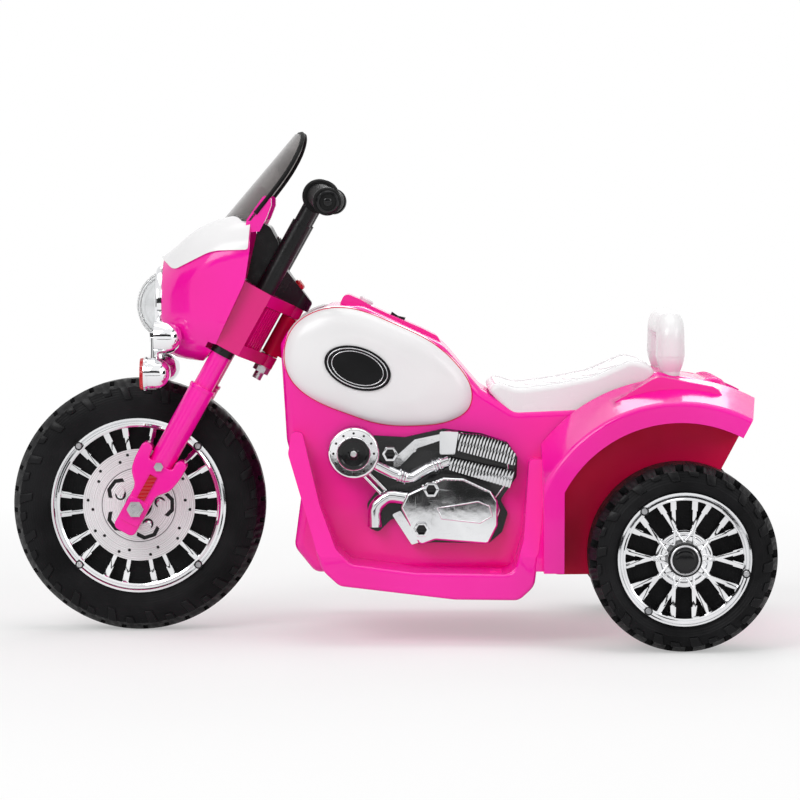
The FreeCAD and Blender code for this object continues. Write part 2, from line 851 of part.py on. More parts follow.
def fork_tubes():
    """Upper tubes, from inside the sliders to inside the steering head."""
    rods = []
    for side in (left, right):
        base = leg_place(side).multVec(z_axis * (dim.slider_top - dim.fork_tube_socket))
        rod = cylinder(f"fork_tube_{side}", "fork_tube_radius",
                       "front_wheel_radius + crown_gap + head_plate - slider_top + fork_tube_socket",
                       FreeCAD.Placement(base, rake_turn))
        rods.append(rod)
    group("fork_tubes", rods)


def fork_collars():
    """Dust seals under the steering head, round the upper tubes."""
    rings = []
    for side in (left, right):
        base = leg_place(side).multVec(z_axis * (head_low - dim.fork_collar_height))
        place = FreeCAD.Placement(base, rake_turn)
        outer = cylinder(f"collar_{side}", "fork_collar_radius", "fork_collar_height", place)
        inner = cylinder(f"collar_bore_{side}", "fork_tube_radius + running_gap", "fork_collar_height",
                         place)
        rings.append(cut(f"fork_collar_{side}", outer, inner))
    group("fork_collars", rings)


def fork_reflectors():
    """Red strips seated on the outer faces of the calipers."""
    strips = []
    for side in (left, right):
        strip = doc.addObject("Part::Box", f"reflector_{side}")
        bind(strip, Length="2 * reflector_half", Width="reflector_height",
             Height="reflector_high - reflector_low")
        start = dim.caliper_outer if side == right else -dim.caliper_outer - dim.reflector_height
        corner = Vec(-dim.reflector_half, start, dim.reflector_low)
        strip.Placement = FreeCAD.Placement(front_axle + rake_turn.multVec(corner), rake_turn)
        strips.append(strip)
    group("fork_reflectors", strips)


def front_axle_rod():
    base = front_axle - y_axis * (dim.caliper_outer + dim.nut_height)
    rod = cylinder("front_axle", "axle_radius", "2 * (caliper_outer + nut_height)", along(y_axis, base))
    name_piece(rod, "front_axle")


def hex_nut(name, radius, height, bore, placement):
    return cut(name, hexagon(name + "_hex", radius, height, placement),
               cylinder(name + "_bore", bore, height, placement))


def fork_fasteners():
    """Axle nuts, slider bolts, and the steering bolt's washer and nut."""
    parts = []
    for side in (left, right):
        seat = front_axle + y_axis * side * dim.caliper_outer
        parts.append(hex_nut(f"axle_nut_{side}", "nut_radius", "nut_height", "axle_radius + running_gap",
                             along(y_axis * side, seat)))
        bolt_height = dim.caliper_high - dim.caliper_notch - dim.leg_bolt_radius
        spot = Vec(0, side * dim.caliper_outer, bolt_height)
        parts.append(hexagon(f"leg_bolt_{side}", "leg_bolt_radius", "leg_bolt_height",
                             along(y_axis * side, front_axle + rake_turn.multVec(spot))))
    down = FreeCAD.Rotation(x_axis, half_turn)
    washer_place = in_steer(z_axis * head_low, down)
    washer = cut("steering_washer", cylinder("washer_disc", "washer_radius", "washer_height",
                                             washer_place),
                 cylinder("washer_bore", "steering_bolt_radius + running_gap", "washer_height",
                          washer_place))
    nut_place = in_steer(z_axis * (head_low - dim.washer_height), down)
    parts += [washer, hex_nut("steering_nut", "nut_radius", "nut_height",
                              "steering_bolt_radius + running_gap", nut_place)]
    group("fork_fasteners", parts)


# Steering head, bolt, neck, dash and handlebar, all drawn in the steering frame
def steering_head():
    """Two plates joined by walls, with sockets for the fork tubes and a tail round the steering bolt."""
    body = new_body("steering_head", steer_place)
    front, half, rear, skin = "-head_front", "head_half", "-head_shoulder", "head_wall"
    low = "front_wheel_radius + crown_gap"
    top = f"{low} + head_height - head_plate"
    plate = [(front, f"-{half}"), (rear, f"-{half}"), ("0", "-head_tail_radius"),
             ("0", "head_tail_radius"),
             (rear, half), (front, half)]
    inner = f"{half} - {skin}"
    walls = [(front, f"-{half}"), (rear, f"-{half}"), (rear, f"-({inner})"),
             (f"{front} + {skin}", f"-({inner})"),
             (f"{front} + {skin}", inner), (rear, inner), (rear, half), (front, half)]
    pad(body, "low_plate", polygon_sketch(body, "low_outline", "XY_Plane", [plate], low), "head_plate")
    pad(body, "walls", polygon_sketch(body, "wall_outline", "XY_Plane", [walls], low), "head_height")
    pad(body, "top_plate", polygon_sketch(body, "top_outline", "XY_Plane", [plate], top), "head_plate")
    for name, start in (("low_tail", low), ("top_tail", top)):
        pad(body, name, circle_sketch(body, name + "_ring", "XY_Plane", ("0", "0"), "head_tail_radius",
                                      start), "head_plate")
    for side in (left, right):
        spot = ("-fork_offset", f"{side} * leg_spread")
        name = f"socket_{'left' if side == left else 'right'}"
        pad(body, name, circle_sketch(body, name + "_ring", "XY_Plane", spot, "head_socket_radius", low),
            "head_height")
        bore = circle_sketch(body, name + "_bore", "XY_Plane", spot, "fork_tube_radius + running_gap",
                             low)
        pocket(body, name + "_cut", bore, "head_plate", True)
    bore = circle_sketch(body, "bolt_bore", "XY_Plane", ("0", "0"), "steering_bolt_radius + running_gap",
                         f"{low} + head_height + overrun")
    pocket(body, "bolt_cut", bore, "head_height + 2 * overrun")


def steering_bolt():
    base = in_steer(z_axis * (head_low - dim.steering_bolt_tail))
    rod = cylinder("bolt_shank", "steering_bolt_radius", "steering_bolt_tail + head_height", base)
    head = hexagon("bolt_head", "nut_radius", "nut_height", in_steer(z_axis * head_top))
    name_piece(fuse("steering_bolt", [rod, head]), "steering_bolt")


def neck_span():
    """Heights along the steering axis between which the neck tube runs."""
    return (head_low + dim.head_plate + dim.moving_gap, head_top - dim.head_plate - dim.moving_gap)


def steering_neck():
    """Bearing tube on the steering bolt, with the web that carries it inside the body."""
    body = new_body("steering_neck", steer_place)
    low = "front_wheel_radius + crown_gap + head_plate + moving_gap"
    length = "head_height - 2 * head_plate - 2 * moving_gap"
    pad(body, "tube", circle_sketch(body, "tube_ring", "XY_Plane", ("0", "0"), "neck_radius", low),
        length)
    web = [("0", "-neck_web_half"), ("neck_web_length", "-neck_web_half"),
           ("neck_web_length", "neck_web_half"),
           ("0", "neck_web_half")]
    pad(body, "web", polygon_sketch(body, "web_outline", "XY_Plane", [web], f"{low} + neck_web_margin"),
        f"{length} - 2 * neck_web_margin")
    start = "neck_web_length - neck_flange_height"
    flange = [(start, "-neck_flange_half"), ("neck_web_length", "-neck_flange_half"),
              ("neck_web_length", "neck_flange_half"), (start, "neck_flange_half")]
    pad(body, "flange", polygon_sketch(body, "flange_outline", "XY_Plane", [flange],
                                       f"{low} + neck_web_margin"),
        f"{length} - 2 * neck_web_margin")
    bore = circle_sketch(body, "bore", "XY_Plane", ("0", "0"), "steering_bolt_radius + running_gap",
                         f"{low} + head_height")
    pocket(body, "bore_cut", bore, "2 * head_height")


dash_side_shares = [(-0.987, 0.984, 0.08), (-0.833, 1.0, 0.12), (-0.635, 0.84, 0.3), (-0.417, 0.516, 0.3),
                    (0.185, 0.177, 0.08), (0.18, 0, 0), (-0.756, 0, 0)]
dash_slope_corners = (3, 4)
dash_waist_share = 0.5
button_place_share = 0.52


def dash_corners():
    return [(x * dim.dash_front, head_top + z * dim.dash_rise, r * dim.dash_rise) for x, z,
            r in dash_side_shares]


def dash_form(shrink):
    """Side outline of the dash, narrowed in plan to a round tail about the steering axis."""
    half = dim.dash_half - shrink
    tail = dim.dash_rear_radius - shrink
    waist = -dim.dash_front * dash_waist_share
    front = -dim.dash_front - dim.overrun
    plan = [Vec(front, -half, 0), Vec(waist, -half, 0), Vec(0, -tail, 0), Vec(0, tail, 0),
            Vec(waist, half, 0),
            Vec(front, half, 0)]
    rise = Vec(0, 0, head_top + dim.dash_rise + dim.overrun)
    prism = Part.Face(Part.makePolygon(plan + plan[:1])).extrude(rise)
    return slab(dash_corners(), -half, half, shrink).common(prism.fuse(Part.makeCylinder(tail, rise.z)))


def button_seats():
    """Centre and outward direction of the buttons on the dash's sloped face."""
    (x_high, z_high, _), (x_low, z_low, _) = [dash_corners()[index] for index in dash_slope_corners]
    run = Vec(x_low - x_high, 0, z_low - z_high)
    outward = Vec(-run.z, 0, run.x).normalize()
    middle = Vec(x_high, 0, z_high) + run * button_place_share
    return [middle + y_axis * side * dim.button_spacing for side in (left, right)], outward


def dash():
    void = dash_form(dim.wall)
    below = void.translated(Vec(0, 0, -2 * dim.wall))
    shell = dash_form(0).cut(void.fuse(below))
    seats, outward = button_seats()
    for seat in seats:
        base = seat - outward * dim.overrun
        shell = shell.cut(Part.makeCylinder(dim.button_radius + dim.fit_gap, 2 * dim.overrun, base,
                                            outward))
    shell = shell.cut(Part.makeCylinder(dim.nut_radius + dim.fit_gap, dim.nut_height + dim.fit_gap,
                                        z_axis * head_top))
    feature("dash", shell, steer_place)


def dash_buttons():
    """Horn and music buttons, each a plunger with a domed top."""
    seats, outward = button_seats()
    for label, seat in zip(("horn_button", "music_button"), seats):
        body = new_body(label)
        rim = "button_radius - button_height / 4"
        revolve(body, "plunger", [[("0", "-button_height"), ("button_radius", "-button_height"),
                                   ("button_radius", "button_travel"),
                                   (rim, "button_travel + button_height / 4"),
                                   ("0", "button_travel + button_height / 4")]])
        turn = FreeCAD.Rotation(y_axis, outward)
        body.Placement = in_steer(seat, turn)


def bar_path(side):
    top = head_top + dim.bar_rise
    points = [Vec(-dim.bar_setback, side * dim.bar_spread, head_top),
              Vec(-dim.bar_setback, side * dim.bar_spread, top),
              Vec(dim.grip_sweep - dim.bar_setback, side * dim.grip_reach, top)]
    return rounded_wire(points, [0, dim.bar_bend, 0], False), points


def handlebars():
    """One bent tube a side, standing on the steering head in a thicker sleeve."""
    bars = []
    for side in (left, right):
        path, points = bar_path(side)
        rise = dim.bar_rise - dim.bar_bend - dim.grip_flange_radius
        sleeve = Part.makeCylinder(dim.bar_sleeve_radius, rise, points[0])
        bars.append(tube(path, dim.bar_radius).fuse(sleeve).removeSplitter())
    feature("handlebars", Part.makeCompound(bars), steer_place)


def grips():
    """Ribbed grips with a flange towards the rider's hand and a round end cap."""
    reach = math.hypot(dim.grip_sweep, dim.grip_reach - dim.bar_spread)
    start = dim.grip_start - dim.bar_spread
    ribs = int((reach - start - dim.grip_flange_width - dim.grip_cap_width) / dim.grip_rib_pitch)
    for label, side in (("grip_left", left), ("grip_right", right)):
        points = bar_path(side)[1]
        body = new_body(label, in_steer(points[1], FreeCAD.Rotation(x_axis, points[2] - points[1])))
        flange_end = "grip_start - bar_spread + grip_flange_width"
        bore = "bar_radius + running_gap"
        profile = [("grip_start - bar_spread", bore),
                   ("grip_start - bar_spread", "grip_flange_radius - grip_rib_depth"),
                   ("grip_start - bar_spread + grip_rib_depth", "grip_flange_radius"),
                   (f"{flange_end} - grip_rib_depth", "grip_flange_radius"),
                   (flange_end, "grip_flange_radius - grip_rib_depth"), (flange_end, "grip_radius")]
        for rib in range(1, ribs):
            place = f"{flange_end} + {rib} * grip_rib_pitch"
            profile += [(f"{place} - grip_rib_depth", "grip_radius"),
                        (place, "grip_radius - grip_rib_depth"),
                        (f"{place} + grip_rib_depth", "grip_radius")]
        length = "sqrt(pow(grip_sweep; 2) + pow(grip_reach - bar_spread; 2))"
        profile += [(f"{length} - grip_cap_width", "grip_radius"),
                    (f"{length} - grip_cap_width", "grip_cap_radius"),
                    (f"{length} + grip_rib_depth", "grip_cap_radius"),
                    (f"{length} + 2 * grip_rib_depth", "grip_cap_radius - grip_rib_depth"),
                    (f"{length} + 2 * grip_rib_depth", "0"), (length, "0"), (length, bore)]
        revolve(body, "grip", [profile], "H_Axis")


# Fairing, its white cap, windscreen and lamps
fairing_shares = [(0, 0.064, 0.692, 0.54, 0.5), (0.163, 0.02, 0.776, 0.753, 0.56),
                  (0.388, 0, 0.885, 0.906, 0.58),
                  (0.694, 0, 0.962, 0.988, 0.55), (1.0, 0, 1.0, 1.0, 0.53)]
fairing_clip_shares = [(-0.3, 1.2, 0), (0.98, 1.2, 0), (0.969, 0.763, 0.15), (0.918, 0.551, 0.3),
                       (0.582, 0.103, 0.1),
                       (0.357, -0.06, 0), (-0.3, -0.06, 0)]
cap_shares = [(-0.1, 0.735, 0), (0.04, 0.673, 0.03), (0.133, 0.622, 0.06), (0.561, 0.756, 0.3),
              (0.949, 0.763, 0.02),
              (1.0, 1.2, 0), (-0.1, 1.2, 0)]
horn_shares = [(0.9, 0.8, 0), (0.93, 0.96, 0.02), (1.112, 1.122, 0.03), (1.194, 1.122, 0.03),
               (1.194, 1.058, 0.03),
               (1.143, 0.974, 0.05), (0.969, 0.763, 0)]
screen_shares = [(0, 1.0), (0.4, 0.97), (0.75, 0.84), (0.93, 0.66), (1.0, 0.5)]
screen_foot_share = (0.633, 0.955)
fairing_corner = Vec(front_x + dim.fairing_setback, 0, dim.front_wheel_radius + dim.fairing_rise)
lamp_centre = Vec(front_x + dim.lamp_setback, 0, dim.front_wheel_radius + dim.lamp_rise)


def fairing_outline(shares):
    return [(fairing_corner.x + x * dim.fairing_length, fairing_corner.z + z * dim.fairing_height,
             r * dim.fairing_height) for x, z, r in shares]


def fairing_form(grow, tail=0):
    """Loft through rounded sections from the lamp to the rider, grown on all sides."""
    wires = []
    for index, (x, low, high, half, radius) in enumerate(fairing_shares):
        place = fairing_corner.x + x * dim.fairing_length
        if index == 0:
            place -= grow
        if index == len(fairing_shares) - 1:
            place += tail
        bottom = fairing_corner.z + low * dim.fairing_height - grow
        top = fairing_corner.z + high * dim.fairing_height + grow
        wide = half * dim.fairing_half + grow
        corners = [Vec(place, -wide, bottom), Vec(place, wide, bottom), Vec(place, wide, top),
                   Vec(place, -wide, top)]
        wires.append(rounded_wire(corners, [radius * dim.fairing_half + grow] * len(corners)))
    return Part.makeLoft(wires, True)


def fairing_clip():
    reach = dim.fairing_half + dim.overrun
    return slab(fairing_outline(fairing_clip_shares), -reach, reach)


def screen_form():
    """Bowed sheet that narrows to a round top, leaning back from the cap."""
    x_share, z_share = screen_foot_share
    foot = fairing_corner + Vec(x_share * dim.fairing_length, 0, z_share * dim.fairing_height)
    wires = []
    for rise, width in screen_shares:
        half = dim.screen_half * width
        bow = dim.screen_bow * width * width
        centre = foot + Vec(rise * dim.screen_lean, 0, rise * dim.screen_height)
        back = x_axis * dim.screen_skin
        ends = [centre + Vec(bow, side * half, 0) for side in (left, right)]
        front = Part.Arc(ends[0], centre, ends[1]).toShape()
        rear = Part.Arc(ends[1] + back, centre + back, ends[0] + back).toShape()
        closing = [Part.LineSegment(ends[1], ends[1] + back).toShape(),
                   Part.LineSegment(ends[0] + back, ends[0]).toShape()]
        wires.append(Part.Wire([front, closing[0], rear, closing[1]]))
    return Part.makeLoft(wires, True)


def head_room():
    """Block that the steering head and the collars under it keep to themselves inside the fairing."""
    half = dim.head_half + dim.fit_gap
    low = head_low - dim.fork_collar_height - dim.fit_gap
    block = Part.makeBox(2 * dim.head_front, 2 * half, head_top + dim.fit_gap - low,
                         Vec(-dim.head_front - dim.fit_gap, -half, low))
    block.Placement = steer_place
    return block


def fairing_set():
    outer = fairing_form(0)
    hole = Part.makeCylinder(dim.lamp_radius + dim.wall + dim.fit_gap, dim.fairing_length,
                             lamp_centre - x_axis * dim.fairing_length / 2, x_axis)
    shell = outer.cut(fairing_form(-dim.wall, dim.overrun)).common(fairing_clip())
    screen = screen_form().cut(fairing_form(dim.cap_skin))
    for side in (left, right):
        low, high = sorted((side * dim.horn_inner, side * dim.horn_outer))
        shell = shell.fuse(slab(fairing_outline(horn_shares), low,
                                high).cut(fairing_form(-dim.wall, dim.overrun)))
    shell = shell.cut([hole, screen, head_room()])
    feature("fairing", max(shell.Solids, key=lambda solid: solid.Volume))
    reach = dim.fairing_half + dim.overrun
    lid = slab(fairing_outline(cap_shares), -reach, reach).common(fairing_clip())
    cap = fairing_form(dim.cap_skin).cut(outer).common(lid).cut(screen).cut(shell)
    feature("fairing_cap", max(cap.Solids, key=lambda solid: solid.Volume))
    feature("windscreen", max(screen.Solids, key=lambda solid: solid.Volume))


def headlight():
    """Plated bezel, clear domed lens and bowl on the fore-and-aft axis of the lamp."""
    place = FreeCAD.Placement(lamp_centre, no_turn)
    seat = "fairing_setback - lamp_setback"
    outer = "lamp_radius + bezel_width"
    bezel = new_body("headlight_bezel", place)
    revolve(bezel, "ring", [[("-lamp_skin", "lamp_radius"), ("-lamp_skin", f"{outer} - lamp_skin"),
                             ("0", outer),
                             (seat, outer), (seat, "lamp_radius + wall"),
                             ("bezel_depth", "lamp_radius + wall"),
                             ("bezel_depth", "lamp_radius")]], "H_Axis")
    radius = dim.lamp_radius - dim.fit_gap
    ball = (radius ** 2 + dim.lamp_dome ** 2) / (2 * dim.lamp_dome)
    centre = Vec(ball - dim.lamp_dome, 0, 0)
    shell = Part.makeSphere(ball, centre).cut(Part.makeSphere(ball - dim.lamp_skin, centre))
    lens = shell.common(Part.makeCylinder(radius, dim.lamp_dome + dim.overrun, Vec(), -x_axis))
    feature("headlight_lens", lens, place)
    neck = dim.bowl_neck_radius
    stay = dim.fairing_length
    profile = [Vec(0, radius, 0), Vec(dim.bowl_depth, neck, 0), Vec(stay, neck, 0), Vec(stay, 0, 0),
               Vec(dim.bowl_depth, 0, 0), Vec(dim.bowl_depth - dim.wall, dim.bulb_radius, 0),
               Vec(0, radius - dim.lamp_skin, 0)]
    bowl = Part.Face(Part.makePolygon(profile + profile[:1])).revolve(Vec(), x_axis, full_turn)
    bowl.Placement = place
    block = Part.makeBox(dim.head_front + dim.fairing_length, 2 * dim.head_half,
                         head_top + dim.fairing_height,
                         Vec(-dim.head_front, -dim.head_half, 0))
    block.Placement = steer_place
    feature("headlight_bowl", bowl.cut(block))


def bullet(centre, radius, length):
    """Lamp housing: a short drum with a round back, along the fore-and-aft axis."""
    drum = Part.makeCylinder(radius, length / 2, centre - x_axis * length / 2, x_axis)
    back = Part.makeSphere(radius, centre).common(Part.makeCylinder(radius, radius, centre, x_axis))
    return drum.fuse(back)


def lamp_brackets():
    """Plated arms beside the headlight, each with a spot lamp and a signal lamp hung below."""
    clear = fairing_form(dim.fit_gap)
    arms = []
    lenses = []
    ring = Part.makeCylinder(dim.lamp_radius + dim.bezel_width, 2 * dim.overrun,
                             lamp_centre - x_axis * dim.overrun, x_axis)
    level = lamp_centre.z - dim.lamp_radius + dim.bar_arm_half
    for side in (left, right):
        spot = Vec(lamp_centre.x + dim.spot_length / 2, side * dim.bar_arm_reach, level)
        signal = Vec(lamp_centre.x, side * dim.bar_arm_reach,
                     lamp_centre.z - dim.signal_drop - dim.bar_arm_rise)
        low, high = sorted((0, side * dim.bar_arm_reach))
        beam = Part.makeBox(2 * dim.bar_arm_half, high - low, 2 * dim.bar_arm_half,
                            Vec(lamp_centre.x - dim.bar_arm_half, low, level - dim.bar_arm_half))
        stalk = Part.makeCylinder(dim.signal_stalk_radius, level - signal.z,
                                  Vec(lamp_centre.x, signal.y, signal.z))
        arm = beam.fuse([bullet(spot, dim.spot_radius, dim.spot_length), stalk,
                         bullet(signal, dim.signal_radius, dim.signal_length)])
        arm = arm.cut(clear).cut(ring)
        arms.append(max(arm.Solids, key=lambda solid: solid.Volume))
        face = signal - x_axis * dim.signal_length / 2
        dome = Part.makeSphere(dim.signal_radius, face).common(
            Part.makeCylinder(dim.signal_radius, dim.signal_lens_skin, face, -x_axis))
        lenses.append(dome)
    feature("lamp_brackets", Part.makeCompound(arms))
    feature("signal_lenses", Part.makeCompound(lenses))


# Body: one moulded shell in two halves, with wings over the rear wheels and trays for the feet
hull_shares = [(0.269, 0.883, 0.06), (0.36, 0.972, 0.07), (0.422, 0.969, 0.06), (0.571, 0.858, 0.11),
               (0.641, 0.728, 0.04), (0.703, 0.667, 0.055), (0.861, 0.678, 0.083), (0.963, 0.781, 0.055),
               (1.072, 0.747, 0.042), (1.102, 0.661, 0.036), (1.076, 0.503, 0.055), (1.046, 0.2, 0.042),
               (0.334, 0.189, 0.036), (0.295, 0.264, 0.042), (0.308, 0.417, 0.055), (0.281, 0.578, 0.11)]
# The corner of the hull outline where the underside ends at the front
hull_underside = 12
box_shares = [(0.756, 0.1958, 0.04), (1.046, 0.2, 0.042), (1.076, 0.503, 0.055), (1.102, 0.661, 0.036),
              (1.072, 0.739, 0.042), (0.963, 0.772, 0.055), (0.861, 0.675, 0.06), (0.817, 0.633, 0.055),
              (0.768, 0.444, 0.055)]
tray_shares = [(0.292, 0.608, 0.014), (0.285, 0.544, 0.033), (0.325, 0.347, 0.167), (0.35, 0.217, 0.069),
               (0.381, 0.172, 0.042), (0.591, 0.133, 0.22), (0.708, 0.131, 0.039), (0.736, 0.172, 0.05),
               (0.757, 0.458, 0.055), (0.764, 0.528, 0.014), (0.729, 0.528, 0.014), (0.717, 0.306, 0.055),
               (0.698, 0.206, 0.039), (0.518, 0.211, 0.167), (0.402, 0.236, 0.033), (0.374, 0.278, 0.044),
               (0.344, 0.4, 0.167), (0.322, 0.533, 0.055), (0.311, 0.603, 0.014)]
tray_top_share = 0.608
shelf_shares = [(0.518, 0.211), (0.698, 0.206)]
boss_shares = [(0.52, 0.8), (0.5, 0.67), (0.55, 0.45), (0.66, 0.5)]
lip_angle = 62
hoop_foot_share = 0.6833
steering_lock = 25


def mirrored(shape):
    return shape.mirror(Vec(), y_axis)


def both_sides(label, shape):
    """A piece on the right side of the toy and its mirror image on the left."""
    feature(label + "_right", shape)
    feature(label + "_left", mirrored(shape))


def largest(shape):
    return max(shape.Solids, key=lambda solid: solid.Volume)


def hull_form(inset):
    """Middle of the body: the side outline with rounded long edges, moved inwards by the inset."""
    half = dim.hull_half - inset
    form = slab(body_outline(hull_shares), -half, half, inset)
    rims = edges_at(form, -half) + edges_at(form, half)
    return form.makeFillet(dim.hull_round - inset, rims)


def wing_form(inset):
    """Cone over a rear wheel, cut off behind at the lip and in front at the leg."""
    lip = dim.rear_wheel_radius + dim.arch_gap + dim.arch_band - inset
    crest = dim.rear_wheel_radius + dim.arch_gap + dim.arch_crest - inset
    start = dim.fender_inner + inset
    end = dim.fender_half - inset
    cone = Part.makeCone(crest, lip, end - start, rear_axle + y_axis * start, y_axis)
    cone = cone.makeFillet(dim.fender_edge - inset, edges_at(cone, end))
    far = 2 * crest
    tip = math.radians(lip_angle)
    wedge = [(rear_x, dim.rear_wheel_radius, 0),
             (rear_x + far * math.cos(tip), dim.rear_wheel_radius + far * math.sin(tip), 0),
             (rear_x - dim.fender_front, dim.rear_wheel_radius + far, 0),
             (rear_x - dim.fender_front, dim.fender_floor, 0),
             (rear_x, dim.fender_floor, 0)]
    return cone.common(slab(wedge, 0, dim.fender_half + dim.overrun, inset))


def well_form(inset):
    """Space for a rear wheel: a drum with a flat front."""
    radius = dim.rear_wheel_radius + dim.arch_gap + inset
    start = dim.well_wall - inset
    drum = Part.makeCylinder(radius, dim.fender_half, rear_axle + y_axis * start, y_axis)
    front = rear_x - dim.well_front - inset
    block = Part.makeBox(2 * radius, dim.fender_half, 2 * radius,
                         Vec(front, start, dim.rear_wheel_radius - radius))
    return drum.common(block)


def tray_form(inset):
    """Foot tray: a U in the side view that leans in towards its top."""
    form = slab(body_outline(tray_shares), dim.tray_inner + inset, dim.tray_half - inset, inset)
    if not inset:
        form = form.makeFillet(dim.tray_edge, edges_at(form, dim.tray_half))
    top = body_height(tray_top_share)
    corners = [Vec(front_x, 0, 0), Vec(front_x, dim.tray_half, 0),
               Vec(front_x, dim.tray_half, dim.tray_taper_low),
               Vec(front_x, dim.tray_top_half, top), Vec(front_x, 0, top)]
    lean = Part.makePolygon(corners + corners[:1])
    if inset:
        lean = lean.makeOffset2D(-inset)
    return form.common(Part.Face(lean).extrude(x_axis * dim.wheelbase))


def steering_recess(inset):
    """Room round the steering axis for the tail of the steering head and dash."""
    drum = Part.makeCylinder(dim.head_recess_radius + inset, 2 * dim.head_height,
                             z_axis * (head_low - dim.overrun - inset))
    drum.Placement = steer_place
    return drum


def steering_room():
    """What the steering head and the dash sweep through from lock to lock."""
    right_edge = [Vec(-dim.head_front, dim.head_half, head_low),
                  Vec(-dim.head_shoulder, dim.head_half, head_low), Vec(0, dim.head_tail_radius, head_low)]
    plan = right_edge + [Vec(corner.x, -corner.y, corner.z) for corner in reversed(right_edge)]
    head = Part.Face(Part.makePolygon(plan + plan[:1])).extrude(z_axis * dim.head_height)
    dash_block = Part.makeBox(dim.dash_front, 2 * dim.dash_half, dim.frame_height,
                              Vec(-dim.dash_front, -dim.dash_half, head_top))
    rooms = []
    for turn in (-steering_lock, 0, steering_lock):
        place = steer_place.multiply(FreeCAD.Placement(Vec(), FreeCAD.Rotation(z_axis, turn)))
        rooms += [block.transformed(place.toMatrix()) for block in (head, dash_block)]
    return rooms


def body_form(inset):
    box_half = dim.well_wall - inset
    box = slab(body_outline(box_shares), -box_half, box_half, inset)
    wings = [wing_form(inset), tray_form(inset)]
    form = hull_form(inset).fuse([box] + wings + [mirrored(wing) for wing in wings])
    wells = well_form(inset)
    return form.cut([wells, mirrored(wells), steering_recess(inset)])


def shelf_height(x):
    """Top of the foot tray under a place along the toy."""
    (x_low, z_low), (x_high, z_high) = [body_point(share) for share in shelf_shares]
    return z_low + (z_high - z_low) * (x - x_low) / (x_high - x_low)


def rod_between(radius, x, z, low, high):
    return Part.makeCylinder(radius, high - low, Vec(x, low, z), y_axis)


def shell_bosses():
    """Posts from wall to seam for the shell screws, and the ledges under battery and board."""
    posts = []
    for share in boss_shares:
        x, z = body_point(share)
        posts.append(rod_between(dim.boss_radius, x, z, -dim.hull_half, dim.hull_half).common(outer_body))
    start = front_x + dim.battery_setback - dim.wall
    ledge = Part.makeBox(dim.battery_length + 2 * dim.wall, dim.battery_width, dim.bay_floor,
                         Vec(start, -dim.battery_width / 2, 0))
    posts.append(ledge.common(outer_body))
    for x_side in (left, right):
        for y_side in (left, right):
            x = front_x + dim.board_setback + x_side * (dim.board_length / 2 - dim.boss_radius)
            y = y_side * (dim.board_width / 2 - dim.boss_radius)
            posts.append(Part.makeCylinder(dim.boss_radius, dim.bay_floor,
                                           Vec(x, y, 0)).common(outer_body))
    return posts


def tray_ribs():
    """Raised lines on both trays against slipping."""
    ribs = []
    start = front_x + dim.pedal_setback + dim.pedal_length + dim.overrun
    end = body_point(shelf_shares[1])[0] - dim.overrun
    level = shelf_height(end)
    count = int((dim.tray_half - dim.engine_reach - 2 * dim.rib_pitch) / dim.rib_pitch)
    for number in range(count):
        inner = dim.engine_reach + (number + 1) * dim.rib_pitch
        rib = Part.makeBox(end - start, 2 * dim.rib_half, dim.wall + dim.rib_height,
                           Vec(start, inner, level - dim.wall))
        ribs += [rib, mirrored(rib)]
    return ribs


def pedal_axis():
    x = front_x + dim.pedal_setback + dim.pedal_length
    return Vec(x, 0, shelf_height(x) + dim.pedal_rise + dim.pedal_skin / 2)


def pedal_ears():
    """Lugs on the right tray that hold the pedal's pin."""
    axis = pedal_axis()
    reach = dim.pedal_skin
    ears = []
    for start in (dim.pedal_inner - dim.moving_gap - dim.wall,
                  dim.pedal_inner + dim.pedal_width + dim.moving_gap):
        foot = axis.z - dim.pedal_rise - dim.pedal_skin / 2 - dim.wall
        ears.append(Part.makeBox(2 * reach, dim.wall, axis.z + reach - foot,
                                 Vec(axis.x - reach, start, foot)))
    return ears


def hoop_path():
    x = front_x + dim.hoop_setback
    foot = body_height(hoop_foot_share)
    top = foot + dim.hoop_rise
    return [Vec(x, -dim.hoop_half, foot), Vec(x, -dim.hoop_half, top), Vec(x, dim.hoop_half, top),
            Vec(x, dim.hoop_half, foot)]


def shell_openings():
    """Everything bored or cut through the shell's walls."""
    slot_low, slot_high = neck_span()
    slot = Part.makeBox(dim.neck_web_length, 2 * (dim.neck_web_half + dim.fit_gap), slot_high - slot_low,
                        Vec(0, -dim.neck_web_half - dim.fit_gap, slot_low))
    slot.Placement = steer_place
    deck = Part.makeBox(dim.deck_length, 2 * dim.deck_half, dim.frame_height,
                        Vec(front_x + dim.deck_setback, -dim.deck_half, dim.deck_floor))
    cuts = [slot, deck]
    reach = 2 * dim.well_wall
    cuts.append(rod_between(dim.axle_radius + dim.fit_gap, rear_x, rear_axle.z, -reach, 0))
    cuts.append(rod_between(dim.sleeve_radius + dim.sleeve_hole_gap, rear_x, rear_axle.z, 0, reach))
    for point in hoop_path()[::3]:
        cuts.append(Part.makeCylinder(dim.hoop_radius + dim.running_gap, dim.hoop_rise, point))
    for share in boss_shares:
        x, z = body_point(share)
        cuts.append(rod_between(dim.screw_radius + dim.fit_gap, x, z, -reach, -dim.screw_seat))
        cuts.append(rod_between(dim.screw_shank + dim.running_gap, x, z, -reach,
                                dim.screw_seat + dim.wall))
    axis = pedal_axis()
    cuts.append(rod_between(dim.pedal_pin_radius + dim.running_gap, axis.x, axis.z,
                            dim.pedal_inner - dim.overrun, reach))
    cuts.append(Part.makeCylinder(dim.socket_radius + dim.running_gap, reach, socket_centre(), y_axis))
    return cuts + [button_bore(), rocker_pocket()] + steering_room()


def socket_centre():
    return Vec(front_x + dim.socket_setback, dim.hull_half - dim.wall - dim.overrun, dim.socket_rise)


